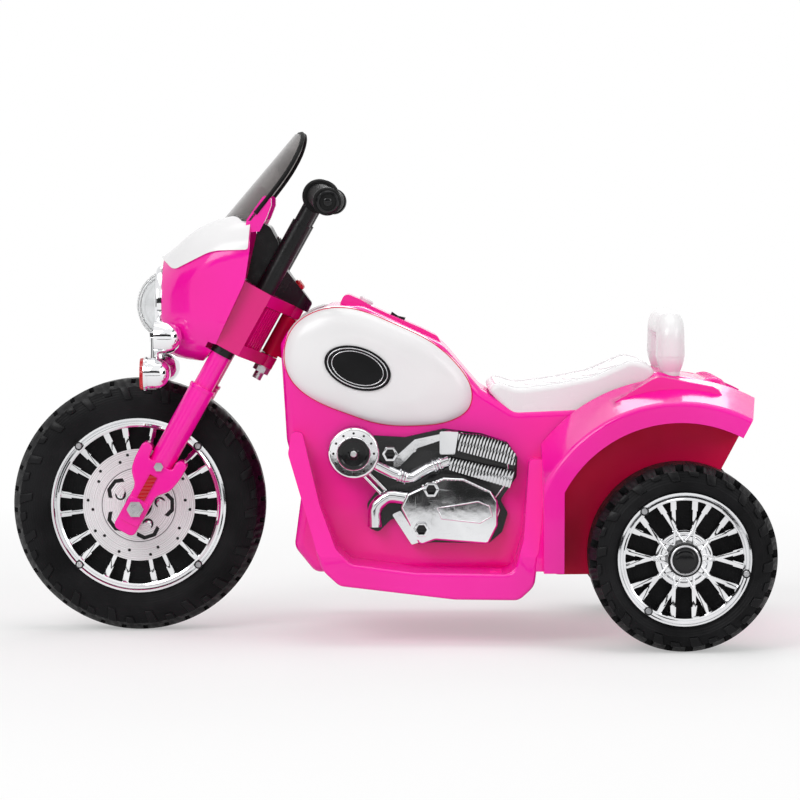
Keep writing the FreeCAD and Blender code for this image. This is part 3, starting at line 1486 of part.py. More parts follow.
def body_shells():
    shell = outer_body.cut(body_form(dim.wall))
    shell = shell.fuse(shell_bosses() + tray_ribs() + pedal_ears())
    shell = shell.cut(shell_openings())
    reach = 2 * dim.wheelbase
    for label, start in (("body_shell_left", -reach), ("body_shell_right", 0)):
        side = Part.makeBox(2 * reach, reach, 2 * reach, Vec(-reach, start, -reach))
        feature(label, largest(shell.common(side)))


def shell_screws():
    """Screws inside the posts, heads towards the left."""
    screws = []
    for number, share in enumerate(boss_shares):
        x, z = body_point(share)
        base = Vec(x, -dim.screw_seat, z)
        head = cylinder(f"shell_screw_head_{number}", "screw_radius", "screw_height",
                        along(-y_axis, base))
        shank = cylinder(f"shell_screw_shank_{number}", "screw_shank", "2 * screw_seat",
                         along(y_axis, base))
        screws.append(fuse(f"shell_screw_{number}", [head, shank]))
    group("shell_screws", screws)


def belly_pan():
    """Flat cover under the body, along its sloping underside."""
    x_front, z_front = body_point(hull_shares[hull_underside])
    x_rear, z_rear = body_point(hull_shares[hull_underside - 1])
    slope = (z_rear - z_front) / (x_rear - x_front)
    ends = (x_front + dim.belly_margin, x_rear - dim.belly_margin)
    low = [(x, z_front + slope * (x - x_front) - dim.belly_skin, dim.belly_skin / 2) for x in ends]
    high = [(x, z + dim.belly_skin, 0) for x, z, _ in reversed(low)]
    feature("belly_pan", slab(low + high, -dim.belly_half, dim.belly_half))


panel_shares = [(0, 0.613), (0.056, 0.347), (0.188, 0.194), (0.355, 0.089), (0.482, 0.024), (0.721, 0),
                (0.909, 0.056),
                (0.985, 0.153), (1, 0.266), (0.924, 0.508), (0.787, 0.702), (0.584, 0.863), (0.289, 1),
                (0.081, 0.887)]
panel_dome_shares = [(1.0, 0), (0.965, 0.3), (0.89, 0.62), (0.74, 0.88), (0.5, 1.0)]
panel_middle_share = (0.46, 0.46)
badge_place_share = (0.391, 0.492)


def panel_point(share):
    return (front_x + dim.panel_setback + share[0] * dim.panel_length,
            dim.panel_floor + share[1] * dim.panel_height)


def panel_form(grow=0):
    """Pillow on the side of the tank, drawn through outlines that shrink as they rise."""
    wires = []
    levels = [(1.0, dim.panel_base)]
    levels += [(scale, dim.hull_half + rise * dim.panel_dome + grow) for scale, rise in panel_dome_shares]
    middle = panel_point(panel_middle_share)
    for scale, level in levels:
        points = []
        for share in panel_shares:
            x, z = panel_point(share)
            points.append(Vec(middle[0] + scale * (x - middle[0]), level,
                              middle[1] + scale * (z - middle[1])))
        curve = Part.BSplineCurve()
        curve.interpolate(points, PeriodicFlag=True)
        wires.append(Part.Wire(curve.toShape()))
    return Part.makeLoft(wires, True)


def tank_panels():
    """White side panels with an oval badge seated on each."""
    pillow = panel_form()
    both_sides("tank_panel", largest(pillow.cut(hull_form(0))))
    x, z = panel_point(badge_place_share)
    oval = Part.Ellipse(Vec(), dim.badge_length / 2, dim.badge_height / 2).toShape()
    disc = Part.Face(Part.Wire(oval)).extrude(z_axis * dim.panel_dome * 2)
    turn = FreeCAD.Rotation(y_axis, dim.badge_tilt).multiply(FreeCAD.Rotation(x_axis, -quarter_turn))
    disc.Placement = FreeCAD.Placement(Vec(x, dim.hull_half, z), turn)
    badge = largest(disc.common(panel_form(dim.badge_skin)).cut(pillow))
    feature("tank_badges", Part.makeCompound([badge, mirrored(badge)]))


engine_plate_shares = [(0.005, 0.719), (0.025, 0.901), (0.116, 1.017), (0.226, 0.95), (0.407, 0.934),
                       (0.608, 1.008),
                       (0.809, 0.967), (0.945, 0.893), (1.0, 0.76), (0.995, 0.587), (0.91, 0.388),
                       (0.95, 0.273),
                       (0.92, 0.107), (0.849, 0.008), (0.558, 0.017), (0.477, 0), (0.347, 0.24),
                       (0.266, 0.107),
                       (0.216, 0.14), (0.206, 0.355), (0.266, 0.488), (0.236, 0.603), (0.106, 0.603)]
crankcase_shares = [(0.417, 0.451), (0.608, 0.595), (0.714, 0.587), (0.859, 0.476), (0.894, 0.388),
                    (0.894, 0.174),
                    (0.844, 0.013), (0.565, 0.05), (0.484, 0), (0.382, 0.331)]
upper_fin_shares = [(0.688, 0.975), (0.799, 0.963), (0.933, 0.901), (0.99, 0.793), (0.985, 0.694),
                    (0.683, 0.826)]
lower_fin_shares = [(0.638, 0.769), (0.985, 0.645), (0.96, 0.5), (0.638, 0.659)]
band_shares = [(0.345, 0.678), (0.377, 0.678), (0.472, 0.843), (0.623, 0.926), (0.623, 0.975),
               (0.457, 0.917),
               (0.347, 0.752)]
head_block_shares = [(0.588, 0.793), (0.668, 0.793), (0.688, 0.992), (0.588, 0.992)]
strip_shares = [(0.337, 0.264), (0.382, 0.298), (0.487, 0.025), (0.442, 0)]
intake_shares = [(0.242, 0.707), (0.345, 0.62), (0.432, 0.574), (0.528, 0.669), (0.638, 0.736)]
exhaust_shares = [(0.427, 0.402), (0.316, 0.427), (0.246, 0.331), (0.246, 0.157)]
rivet_shares = [(0.385, 0.719), (0.455, 0.822), (0.551, 0.901)]
nut_shares = [(0.327, 0.798), (0.543, 0.494), (0.492, 0.147)]
cleaner_share = (0.136, 0.804)
fin_slope_share = 0.27


def engine_point(share):
    x = front_x + dim.engine_setback + share[0] * dim.engine_length
    return x, dim.engine_floor + share[1] * dim.engine_height


def engine_slab(shares, low, high, radius):
    return slab([(*engine_point(share), radius) for share in shares], low, high)


def engine_pipe(shares, radius, depth):
    points = [Vec(*engine_point(share), 0) for share in shares]
    points = [Vec(point.x, depth, point.y) for point in points]
    bends = [0] + [2 * radius] * (len(points) - 2) + [0]
    return tube(rounded_wire(points, bends, False), radius)


def fin_stack(shares, low, high):
    """Cooling fins clipped to one outline, standing in a row along the slope of the cylinder."""
    outline = engine_slab(shares, low, high, dim.fin_width)
    points = [Vec(x, low, z) for x, z in map(engine_point, shares)]
    row = Vec(1, 0, -fin_slope_share).normalize()
    upright = Vec(-row.z, 0, row.x)
    start = min(points, key=row.dot)
    length = max(map(row.dot, points)) - row.dot(start)
    fins = []
    for number in range(int(length / dim.fin_pitch) + 1):
        foot = start + row * number * dim.fin_pitch - upright * dim.engine_height
        corners = [foot, foot + row * dim.fin_width]
        corners += [corner + upright * 2 * dim.engine_height for corner in reversed(corners)]
        fins.append(Part.Face(Part.makePolygon(corners + corners[:1])).extrude(y_axis * (high - low)))
    return outline.common(fins[0].fuse(fins[1:]))


def engine_covers():
    """Plated mock engine: case, fins, air cleaner, pipes and nuts on one backing plate."""
    base = dim.hull_half
    face = base + dim.engine_plate
    edge = dim.engine_case_edge
    plate = engine_slab(engine_plate_shares, base, face, edge)
    case = engine_slab(crankcase_shares, base, face + dim.engine_case_depth, edge)
    case = case.makeFillet(edge / 2, edges_at(case, face + dim.engine_case_depth))
    x, z = engine_point(cleaner_share)
    drum = rod_between(dim.cleaner_radius, x, z, base, face + dim.cleaner_depth)
    drum = drum.makeFillet(dim.cleaner_rim, edges_at(drum, face + dim.cleaner_depth))
    dome = rod_between(dim.cleaner_dome_radius, x, z, base,
                       face + dim.cleaner_depth + dim.cleaner_dome_depth)
    dome = dome.makeFillet(dim.cleaner_rim, edges_at(dome,
                                                     face + dim.cleaner_depth + dim.cleaner_dome_depth))
    parts = [case, drum, dome]
    fin_base = face + dim.fin_depth / 2
    for shares in (upper_fin_shares, lower_fin_shares):
        parts.append(engine_slab(shares, base, fin_base, dim.fin_width))
        parts += fin_stack(shares, fin_base - dim.fin_width, face + dim.fin_depth).Solids
    parts.append(engine_slab(band_shares, base, face + dim.engine_plate, dim.fin_width))
    parts.append(engine_slab(head_block_shares, base, face + dim.fin_depth, dim.fin_width))
    parts.append(engine_slab(strip_shares, base, face + dim.engine_plate, dim.fin_width))
    parts.append(engine_pipe(intake_shares, dim.pipe_radius, base + dim.pipe_stand))
    parts.append(engine_pipe(exhaust_shares, dim.exhaust_radius, base + dim.pipe_stand))
    for share in rivet_shares:
        parts.append(rod_between(dim.fin_width, *engine_point(share), base,
                                 face + dim.engine_plate + dim.fin_width))
    for number, share in enumerate(nut_shares):
        x, z = engine_point(share)
        depth = dim.engine_nut_depth if number == 0 else dim.engine_case_depth + dim.nut_height
        parts.append(hex_prism(dim.engine_nut_radius, Vec(x, base, z), dim.engine_plate + depth))
    x, z = engine_point(nut_shares[-1])
    parts.append(rod_between(dim.nut_ring_radius, x, z, base,
                             face + dim.engine_case_depth + dim.fin_width))
    both_sides("engine_cover", largest(plate.fuse(parts)))


def hex_prism(radius, centre, depth):
    points = []
    for number in range(hex_sides):
        angle = math.radians(number * full_turn / hex_sides)
        points.append(centre + Vec(radius * math.cos(angle), 0, radius * math.sin(angle)))
    return Part.Face(Part.makePolygon(points + points[:1])).extrude(y_axis * depth)


console_shares = [(0.378, 0.972, 0.02), (0.388, 1.006, 0.02), (0.417, 0.986, 0.05), (0.441, 0.964, 0.08),
                  (0.464, 0.947, 0.08), (0.529, 0.903, 0.08), (0.561, 0.878, 0.02), (0.571, 0.852, 0.02),
                  (0.536, 0.8, 0),
                  (0.395, 0.9, 0)]
switch_places = {"start_button": (0.4, 3), "power_switch": (0.35, 5)}
tail_shares = [(1.007, 0.72, 0.02), (1.025, 0.744, 0.04), (1.074, 0.761, 0.04), (1.093, 0.75, 0.03),
               (1.109, 0.681, 0.02),
               (1.084, 0.65, 0.02)]
seat_shares = [(0.651, 0.728, 0.03), (0.673, 0.747, 0.03), (0.708, 0.727, 0.12), (0.782, 0.742, 0.14),
               (0.851, 0.764, 0.1),
               (0.919, 0.811, 0.05), (0.956, 0.797, 0.035), (0.965, 0.767, 0.03), (0.895, 0.655, 0.05),
               (0.705, 0.635, 0.05)]


def console_seat(along_share, corner):
    """Place and outward direction of a control on the console's sloping top."""
    x_high, z_high = body_point(console_shares[corner - 1])
    x_low, z_low = body_point(console_shares[corner])
    run = Vec(x_low - x_high, 0, z_low - z_high)
    outward = Vec(-run.z, 0, run.x).normalize()
    return Vec(x_high, 0, z_high) + run * along_share, outward


def tank_console():
    """Raised strip along the top of the tank, bored for the start button and cut for the rocker."""
    form = slab(body_outline(console_shares), -dim.console_half, dim.console_half)
    strip = form.cut(hull_form(0))
    seat, outward = console_seat(*switch_places["power_switch"])
    half = dim.rocker_half_width + dim.moving_gap + dim.wall
    pin = Part.makeCylinder(dim.rocker_pin_radius + dim.running_gap, 2 * half,
                            seat - outward * dim.rocker_pin_drop - y_axis * half, y_axis)
    feature("tank_console", largest(strip.cut([button_bore(), rocker_pocket(), pin])))


def button_bore():
    seat, outward = console_seat(*switch_places["start_button"])
    base = seat - outward * 2 * dim.overrun
    return Part.makeCylinder(dim.start_button_radius + dim.fit_gap, 4 * dim.overrun, base, outward)


def rocker_pocket():
    seat, outward = console_seat(*switch_places["power_switch"])
    turn = FreeCAD.Rotation(z_axis, outward)
    length = dim.rocker_half_length + 2 * dim.moving_gap
    width = dim.rocker_half_width + dim.moving_gap
    box = Part.makeBox(2 * length, 2 * width, 4 * dim.overrun,
                      Vec(-length, -width, -2 * dim.overrun))
    box.Placement = FreeCAD.Placement(seat, turn)
    return box


def console_controls():
    """Start button and rocker switch, each in its hole in the console."""
    seat, outward = console_seat(*switch_places["start_button"])
    button = new_body("start_button", FreeCAD.Placement(seat, FreeCAD.Rotation(y_axis, outward)))
    edge = "start_button_height / 5"
    top = "start_button_height / 2"
    revolve(button, "plunger", [[("0", "-start_button_height"),
                                 ("start_button_radius", "-start_button_height"),
                                 ("start_button_radius", f"{top} - {edge}"),
                                 (f"start_button_radius - {edge}", top),
                                 ("0", top)]])
    seat, outward = console_seat(*switch_places["power_switch"])
    rocker = new_body("power_switch", FreeCAD.Placement(seat, FreeCAD.Rotation(z_axis, outward)))
    low, high = "-rocker_height / 2", "rocker_height / 3"
    loop = [("-rocker_half_length", low), ("rocker_half_length", low), ("rocker_half_length", high),
            ("0", "rocker_height / 6"), ("-rocker_half_length", high)]
    pad_between(rocker, "paddle", loop, "-rocker_half_width", "rocker_half_width")
    pin = "rocker_half_width + moving_gap + wall - running_gap"
    ring = circle_sketch(rocker, "pin", "XZ_Plane", ("0", "-rocker_pin_drop"), "rocker_pin_radius",
                         f"-({pin})")
    pad(rocker, "pin_pad", ring, f"2 * ({pin})")


def seat():
    """Dished saddle on the deck over the battery, hollow below."""
    half = dim.seat_half
    form = slab(body_outline(seat_shares), -half, half)
    form = form.makeFillet(dim.seat_edge, edges_at(form, -half) + edges_at(form, half))
    void = slab(body_outline(seat_shares), dim.seat_edge - half, half - dim.seat_edge, 2 * dim.wall)
    void = void.fuse(void.translated(Vec(0, 0, -dim.overrun)))
    feature("seat", largest(form.cut(void).cut(outer_body)))


def backrest_hoop():
    """Bent tube behind the seat, thicker where the back rests on it."""
    points = hoop_path()
    bends = [0, dim.hoop_bend, dim.hoop_bend, 0]
    frame = tube(rounded_wire(points, bends, False), dim.hoop_radius)
    low = z_axis * (dim.hoop_rise - dim.hoop_bend)
    rest = [points[0] + low, points[1], points[2], points[3] + low]
    rest = tube(rounded_wire(rest, bends, False), dim.hoop_pad_radius)
    feature("backrest_hoop", frame.fuse(rest).removeSplitter())


def tail_cowl():
    form = slab(body_outline(tail_shares), -dim.tail_half, dim.tail_half)
    form = form.makeFillet(dim.tail_edge, edges_at(form, -dim.tail_half) + edges_at(form, dim.tail_half))
    feature("tail_cowl", largest(form.cut(outer_body)))


# Drive: a motor and two gear steps on the right rear wheel
pressure_angle = 20
tip_height_share = 0.8
root_depth_share = 1.1
flank_steps = 5
gear_line = Vec(math.cos(math.radians(dim.idler_angle)), 0, math.sin(math.radians(dim.idler_angle)))


def pitch_radius(teeth):
    return dim.gear_pitch_scale * teeth / 2


idler_reach = pitch_radius(dim.wheel_gear_teeth) + pitch_radius(dim.small_gear_teeth)
idler_axis = rear_axle + gear_line * idler_reach
motor_reach = pitch_radius(dim.large_gear_teeth) + pitch_radius(dim.pinion_teeth)
motor_axis = idler_axis + gear_line * motor_reach


def involute(angle):
    return math.tan(angle) - angle


def gear(teeth, centre, depth, phase):
    """Involute spur gear with one tooth at the phase angle."""
    pitch = pitch_radius(teeth)
    base = pitch * math.cos(math.radians(pressure_angle))
    tip = pitch + tip_height_share * dim.gear_pitch_scale
    root = pitch - root_depth_share * dim.gear_pitch_scale
    half_tooth = math.pi / 2 / teeth - dim.gear_backlash / 2 / pitch
    half_tooth += involute(math.radians(pressure_angle))
    flank = []
    start = max(base, root)
    for step in range(flank_steps + 1):
        radius = start + (tip - start) * step / flank_steps
        flank.append((radius, half_tooth - involute(math.acos(base / radius))))
    if root < base:
        flank.insert(0, (root, half_tooth))
    points = []
    for tooth in range(int(teeth)):
        middle = math.radians(phase + tooth * full_turn / teeth)
        for radius, spread in [(r, -a) for r, a in flank] + list(reversed(flank)):
            points.append(centre + Vec(radius * math.cos(middle + spread), depth,
                                       radius * math.sin(middle + spread)))
    return Part.Face(Part.makePolygon(points + points[:1])).extrude(y_axis * dim.gear_width)


def drive_train():
    """Wheel gear on its sleeve, compound idler, and pinion on the motor shaft."""
    inner = dim.gear_face - dim.gear_width - dim.gear_step_gap
    angle = dim.idler_angle
    away = angle + half_turn
    sleeve = rod_between(dim.sleeve_radius, rear_x, rear_axle.z, dim.gear_face,
                         dim.well_wall + dim.moving_gap)
    bore = rod_between(dim.axle_radius + dim.running_gap, rear_x, rear_axle.z, 0, 2 * dim.well_wall)
    wheel = gear(dim.wheel_gear_teeth, rear_axle, dim.gear_face, angle)
    feature("drive_gear", wheel.fuse(sleeve).cut(bore))
    small = gear(dim.small_gear_teeth, idler_axis, dim.gear_face, away + half_turn / dim.small_gear_teeth)
    large = gear(dim.large_gear_teeth, idler_axis, inner, angle)
    hub = rod_between(dim.idler_hub_radius, idler_axis.x, idler_axis.z, inner,
                      dim.gear_face + dim.gear_width)
    bore = rod_between(dim.idler_shaft_radius + dim.running_gap, idler_axis.x, idler_axis.z, 0,
                       2 * dim.well_wall)
    feature("idler_gear", large.fuse([small, hub]).cut(bore))
    pinion = gear(dim.pinion_teeth, motor_axis, inner, away + half_turn / dim.pinion_teeth)
    start = case_start() - dim.motor_length / 2
    shaft = rod_between(dim.motor_shaft_radius, motor_axis.x, motor_axis.z, start, inner + dim.gear_width)
    feature("motor_pinion", pinion.fuse(shaft))


def case_start():
    return dim.gear_face - dim.gear_width - dim.gear_step_gap - dim.case_gap - dim.case_wall


def case_form(shrink, low, high):
    """Three merged drums round the gears."""
    drums = []
    for teeth, axis in ((dim.wheel_gear_teeth, rear_axle), (dim.large_gear_teeth, idler_axis),
                        (dim.pinion_teeth, motor_axis)):
        radius = pitch_radius(teeth) + dim.gear_pitch_scale + dim.case_gap + dim.case_wall - shrink
        drums.append(rod_between(radius, axis.x, axis.z, low, high))
    return drums[0].fuse(drums[1:])


def gearbox_and_motor():
    low = case_start()
    high = dim.well_wall - dim.wall
    case = case_form(0, low, high).cut(case_form(dim.case_wall, low + dim.case_wall, high))
    pin = rod_between(dim.idler_shaft_radius, idler_axis.x, idler_axis.z, low, high)
    reach = dim.gear_face
    bores = [rod_between(dim.axle_radius + dim.fit_gap, rear_x, rear_axle.z, 0, reach),
             rod_between(dim.motor_shaft_radius + dim.running_gap, motor_axis.x, motor_axis.z, 0, reach)]
    feature("gearbox_case", largest(case.fuse(pin).cut(bores)))
    can = rod_between(dim.motor_radius, motor_axis.x, motor_axis.z, low - dim.motor_length, low)
    can = can.makeFillet(dim.motor_edge, edges_at(can, low - dim.motor_length))
    nose = rod_between(dim.motor_shaft_radius + dim.running_gap, motor_axis.x, motor_axis.z,
                       low - dim.motor_length / 2, low)
    feature("motor", can.cut(nose))


def rear_axle_rod():
    """Fixed axle through the body, with a nut outside each wheel."""
    end = "track_half + rear_disc_face + hubcap_height - wall - moving_gap"
    half = dim.track_half + dim.rear_disc_face + dim.hubcap_height - dim.wall - dim.moving_gap
    parts = [cylinder("rear_axle_rod", "axle_radius", f"2 * ({end})",
                      along(y_axis, rear_axle - y_axis * half))]
    for side in (left, right):
        seat = rear_axle + y_axis * side * (dim.track_half + dim.rear_disc_face + dim.moving_gap)
        parts.append(hexagon(f"rear_axle_nut_{side}", "nut_radius", "nut_height",
                             along(y_axis * side, seat)))
    name_piece(fuse("rear_axle", parts), "rear_axle")


# Pieces inside the body
terminal_shares = {"plus": 0.25, "minus": 0.75}
board_part_shares = {"relay": (-0.4, -0.05), "connector": (0.1, 0.4)}
pedal_rib_shares = [0.9, 0.75, 0.6, 0.45, 0.3]


def battery():
    """Sealed battery on its ledge, with two terminals."""
    body = new_body("battery", FreeCAD.Placement(Vec(front_x + dim.battery_setback, 0, dim.bay_floor),
                                                 no_turn))
    loop = [("0", "-battery_width / 2"), ("battery_length", "-battery_width / 2"),
            ("battery_length", "battery_width / 2"),
            ("0", "battery_width / 2")]
    pad(body, "case", polygon_sketch(body, "case_outline", "XY_Plane", [loop]), "battery_height")
    for name, share in terminal_shares.items():
        spot = (f"battery_length * {share}", "0")
        ring = circle_sketch(body, name, "XY_Plane", spot, "boss_radius", "battery_height")
        pad(body, name + "_pad", ring, "boss_radius")


def control_board():
    """Circuit board on four posts, with relay, capacitor and connector."""
    body = new_body("control_board", FreeCAD.Placement(Vec(front_x + dim.board_setback, 0, dim.bay_floor),
                                                       no_turn))
    x, y = "board_length / 2", "board_width / 2"
    loop = [(f"-{x}", f"-{y}"), (x, f"-{y}"), (x, y), (f"-{x}", y)]
    pad(body, "plate", polygon_sketch(body, "plate_outline", "XY_Plane", [loop]), "board_skin")
    for name, (low_share, high_share) in board_part_shares.items():
        low, high = f"board_length * {low_share}", f"board_length * {high_share}"
        loop = [(low, f"-{y} / 2"), (high, f"-{y} / 2"), (high, f"{y} / 2"), (low, f"{y} / 2")]
        pad(body, name, polygon_sketch(body, name + "_outline", "XY_Plane", [loop], "board_skin"),
            "boss_radius * 3")


def charging_socket():
    """Charging socket in the right side wall, with a bore for the charger's plug."""
    body = new_body("charging_socket", FreeCAD.Placement(socket_centre(), no_turn))
    face = "wall + overrun"
    lip = "socket_radius + wall"
    revolve(body, "barrel", [[("0", "0"), ("socket_radius", "0"), ("socket_radius", face), (lip, face),
                              (lip, f"{face} + socket_lip"), ("plug_radius", f"{face} + socket_lip"),
                              ("plug_radius", f"{face} + socket_lip - socket_depth"),
                              ("0", f"{face} + socket_lip - socket_depth")]])


def foot_pedal():
    """Accelerator on the right tray, turning on a pin at its heel."""
    axis = pedal_axis()
    body = new_body("foot_pedal", FreeCAD.Placement(axis, no_turn))
    half = "pedal_skin / 2"
    loop = [("-pedal_length", f"-{half}"), ("0", f"-{half}"), ("0", half), ("-pedal_length", half)]
    pad_between(body, "plate", loop, "pedal_inner", "pedal_inner + pedal_width")
    plate_top = dim.pedal_skin / 2 - dim.running_gap
    round_edges(body, "plate_edges", "pedal_edge", lambda edge: edge.BoundBox.ZMin > plate_top)
    end = "pedal_inner + pedal_width"
    barrel = circle_sketch(body, "barrel", "XZ_Plane", ("0", "0"), "pedal_skin / 2 + pedal_edge",
                           f"-({end})")
    pad(body, "barrel_pad", barrel, "pedal_width")
    reach = "moving_gap + wall"
    pin = circle_sketch(body, "pin", "XZ_Plane", ("0", "0"), "pedal_pin_radius", f"-({end} + {reach})")
    pad(body, "pin_pad", pin, f"pedal_width + 2 * ({reach})")
    for number, share in enumerate(pedal_rib_shares):
        start = f"-pedal_length * {share}"
        loop = [(start, half), (f"{start} + rib_half * 2", half),
                (f"{start} + rib_half * 2", f"{half} + rib_height"),
                (start, f"{half} + rib_height")]
        pad_between(body, f"rib_{number}", loop, "pedal_inner + rib_pitch", f"{end} - rib_pitch")


outer_body = body_form(0)

front_tyre()
front_rim("front_rim_left", 0)
front_rim("front_rim_right", half_turn)
group("brake_discs", [brake_disc("disc_left", 0), brake_disc("disc_right", half_turn)])
ring_screws("front_wheel_screws", front_axle, dim.front_rim_radius - dim.front_ring_width / 2,
            dim.front_ring_face, rim_screws,
            (left, right), full_turn / rim_screws / 2)
for side_name, side_sign in (("left", left), ("right", right)):
    rear_tyre(f"rear_tyre_{side_name}", side_sign)
    rear_rim(f"rear_rim_{side_name}", side_sign)
    hubcap(f"hubcap_{side_name}", side_sign)
    fork_lower(f"fork_lower_{side_name}", side_sign)
fork_tubes()
fork_collars()
fork_reflectors()
front_axle_rod()
fork_fasteners()
steering_head()
steering_bolt()
steering_neck()
dash()
dash_buttons()
handlebars()
grips()
fairing_set()
headlight()
lamp_brackets()
body_shells()
shell_screws()
belly_pan()
tank_panels()
engine_covers()
tank_console()
console_controls()
seat()
backrest_hoop()
tail_cowl()
rear_axle_rod()
drive_train()
gearbox_and_motor()
battery()
control_board()
charging_socket()
foot_pedal()
doc.recompute()

for thing in doc.Objects:
    if "Invalid" in thing.State or "Error" in thing.State:
        raise RuntimeError(f"{thing.Label} did not build: {thing.State}")
for piece in pieces:
    if piece.Shape.isNull() or not piece.Shape.isValid():
        raise RuntimeError(f"{piece.Label} has no valid shape")

os.makedirs("parts", exist_ok=True)
for piece in pieces:
    piece.Shape.exportStep(f"parts/{piece.Label}.step")
    box = piece.Shape.BoundBox
    print(f"{piece.Label}: {box.XLength:.1f} x {box.YLength:.1f} x {box.ZLength:.1f} mm")
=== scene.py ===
import bpy
import json
from math import cos, degrees, hypot, pi, radians, sin
from mathutils import Matrix, Vector


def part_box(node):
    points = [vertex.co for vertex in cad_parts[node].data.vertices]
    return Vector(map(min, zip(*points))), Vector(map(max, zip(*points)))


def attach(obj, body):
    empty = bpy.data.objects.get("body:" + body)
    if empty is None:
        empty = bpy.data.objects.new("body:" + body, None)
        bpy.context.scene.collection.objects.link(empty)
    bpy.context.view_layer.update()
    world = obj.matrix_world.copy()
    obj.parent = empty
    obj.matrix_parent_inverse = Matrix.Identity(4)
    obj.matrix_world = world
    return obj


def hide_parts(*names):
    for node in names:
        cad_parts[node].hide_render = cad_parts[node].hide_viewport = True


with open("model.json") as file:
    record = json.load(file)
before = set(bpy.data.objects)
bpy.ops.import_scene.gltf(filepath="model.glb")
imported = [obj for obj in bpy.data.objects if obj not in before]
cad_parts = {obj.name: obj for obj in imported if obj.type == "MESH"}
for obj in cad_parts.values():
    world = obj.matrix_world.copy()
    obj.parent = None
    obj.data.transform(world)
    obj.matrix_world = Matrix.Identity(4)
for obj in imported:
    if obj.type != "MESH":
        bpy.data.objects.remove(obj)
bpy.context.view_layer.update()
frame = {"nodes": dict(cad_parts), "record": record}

nodes = frame["nodes"]
scene = bpy.context.scene
bodyOf = {node: body for body, members in frame["record"]["behaviour"]["bodies"].items() for node in members}
sides = {"left": -1, "right": 1}
forward = (-1, 0, 0)
down = (0, 0, -1)
mm = 0.001  # profiles and outlines are given in millimetres
print("frame loaded with", len(nodes), "nodes")


# hands: picking, placing and shaping pieces
def setMode(mode):
    bpy.ops.object.mode_set(mode=mode)


def clearSelection():
    if bpy.context.object and bpy.context.object.mode != "OBJECT":
        setMode("OBJECT")
    bpy.ops.object.select_all(action="DESELECT")


def pick(piece):
    clearSelection()
    piece.select_set(True)
    bpy.context.view_layer.objects.active = piece


def editAll(piece):
    pick(piece)
    setMode("EDIT")
    bpy.ops.mesh.select_all(action="SELECT")


def selectWhere(piece, parts, test):  # edit mode, with only the parts that pass the test selected
    setMode("EDIT")
    bpy.ops.mesh.select_mode(type="FACE" if parts == "polygons" else "VERT")
    bpy.ops.mesh.select_all(action="DESELECT")
    setMode("OBJECT")
    for part in getattr(piece.data, parts):
        part.select = test(part)
    setMode("EDIT")


def addPiece(name, data):
    piece = bpy.data.objects.new(name, data)
    scene.collection.objects.link(piece)
    pick(piece)
    return piece


def newMesh(name, points, edges=(), faces=()):
    mesh = bpy.data.meshes.new(name)
    mesh.from_pydata(points, edges, faces)
    return addPiece(name, mesh)


def newFace(name, outline):
    return newMesh(name, outline, [], [list(range(len(outline)))])


def added(name, operator, **values):
    clearSelection()
    operator(**values)
    bpy.context.object.name = name
    return bpy.context.object


def newCube(name, **where):
    return added(name, bpy.ops.mesh.primitive_cube_add, size=1, **where)


def tidyMesh(piece, merge=1e-6, outward=True):
    editAll(piece)
    bpy.ops.mesh.remove_doubles(threshold=merge)
    if outward:
        bpy.ops.mesh.normals_make_consistent(inside=False)
    setMode("OBJECT")


def push(way):  # extrudes what is selected
    bpy.ops.mesh.extrude_region_move(TRANSFORM_OT_translate={"value": way})
    setMode("OBJECT")


def thicken(piece, way):
    editAll(piece)
    push(way)
    tidyMesh(piece)


def modify(piece, kind, **values):
    pick(piece)
    change = piece.modifiers.new(kind, kind)
    for key, value in values.items():
        setattr(change, key, value)
    bpy.ops.object.modifier_apply(modifier=change.name)


def roundEdges(piece, width, segments=2):
    modify(piece, "BEVEL", width=width, segments=segments, limit_method="ANGLE", angle_limit=radians(35))


def smoothOver(piece, angle=32):
    pick(piece)
    bpy.ops.object.shade_smooth_by_angle(angle=radians(angle))


def slab(name, outline, way, edge=0):
    piece = newFace(name, outline)
    thicken(piece, way)
    if edge:
        roundEdges(piece, edge)
    smoothOver(piece)
    return piece


def evenShading(piece, keepOut=None):  # long thin triangles shade by their area
    limits = {}
    if keepOut:
        spared = piece.vertex_groups.new(name="spared")
        spared.add([vertex.index for vertex in piece.data.vertices if keepOut(vertex.co)], 1, "REPLACE")
        limits = {"vertex_group": spared.name, "invert_vertex_group": True}
    modify(piece, "WEIGHTED_NORMAL", keep_sharp=True, **limits)
    piece.vertex_groups.clear()


def settle(piece, place, facing=None, spin=0):  # facing is where the piece's own +Z goes
    pick(piece)
    turn = Matrix.Rotation(radians(spin), 4, "Z")
    if facing is not None:
        turn = Vector(facing).to_track_quat("Z", "Y").to_matrix().to_4x4() @ turn
    piece.matrix_world = Matrix.Translation(place) @ turn
    bpy.ops.object.transform_apply(location=True, rotation=True, scale=True)


def copyOf(piece, name):
    return addPiece(name, piece.data.copy())


def copiesAt(master, label, spots, facing, spins=None):
    twins = [copyOf(master, f"{label}_{number}") for number in range(len(spots))]
    for twin, spot, spin in zip(twins, spots, spins or [0] * len(spots)):
        settle(twin, spot, facing, spin)
    return twins


def mirrorOf(piece, name):
    twin = copyOf(piece, name)
    for vertex in twin.data.vertices:
        vertex.co.y = -vertex.co.y
    editAll(twin)
    bpy.ops.mesh.flip_normals()
    setMode("OBJECT")
    return twin


def joinAll(pieces, name):
    clearSelection()
    for piece in pieces:
        piece.select_set(True)
    bpy.context.view_layer.objects.active = pieces[0]
    bpy.ops.object.join()
    pieces[0].name = name
    return pieces[0]


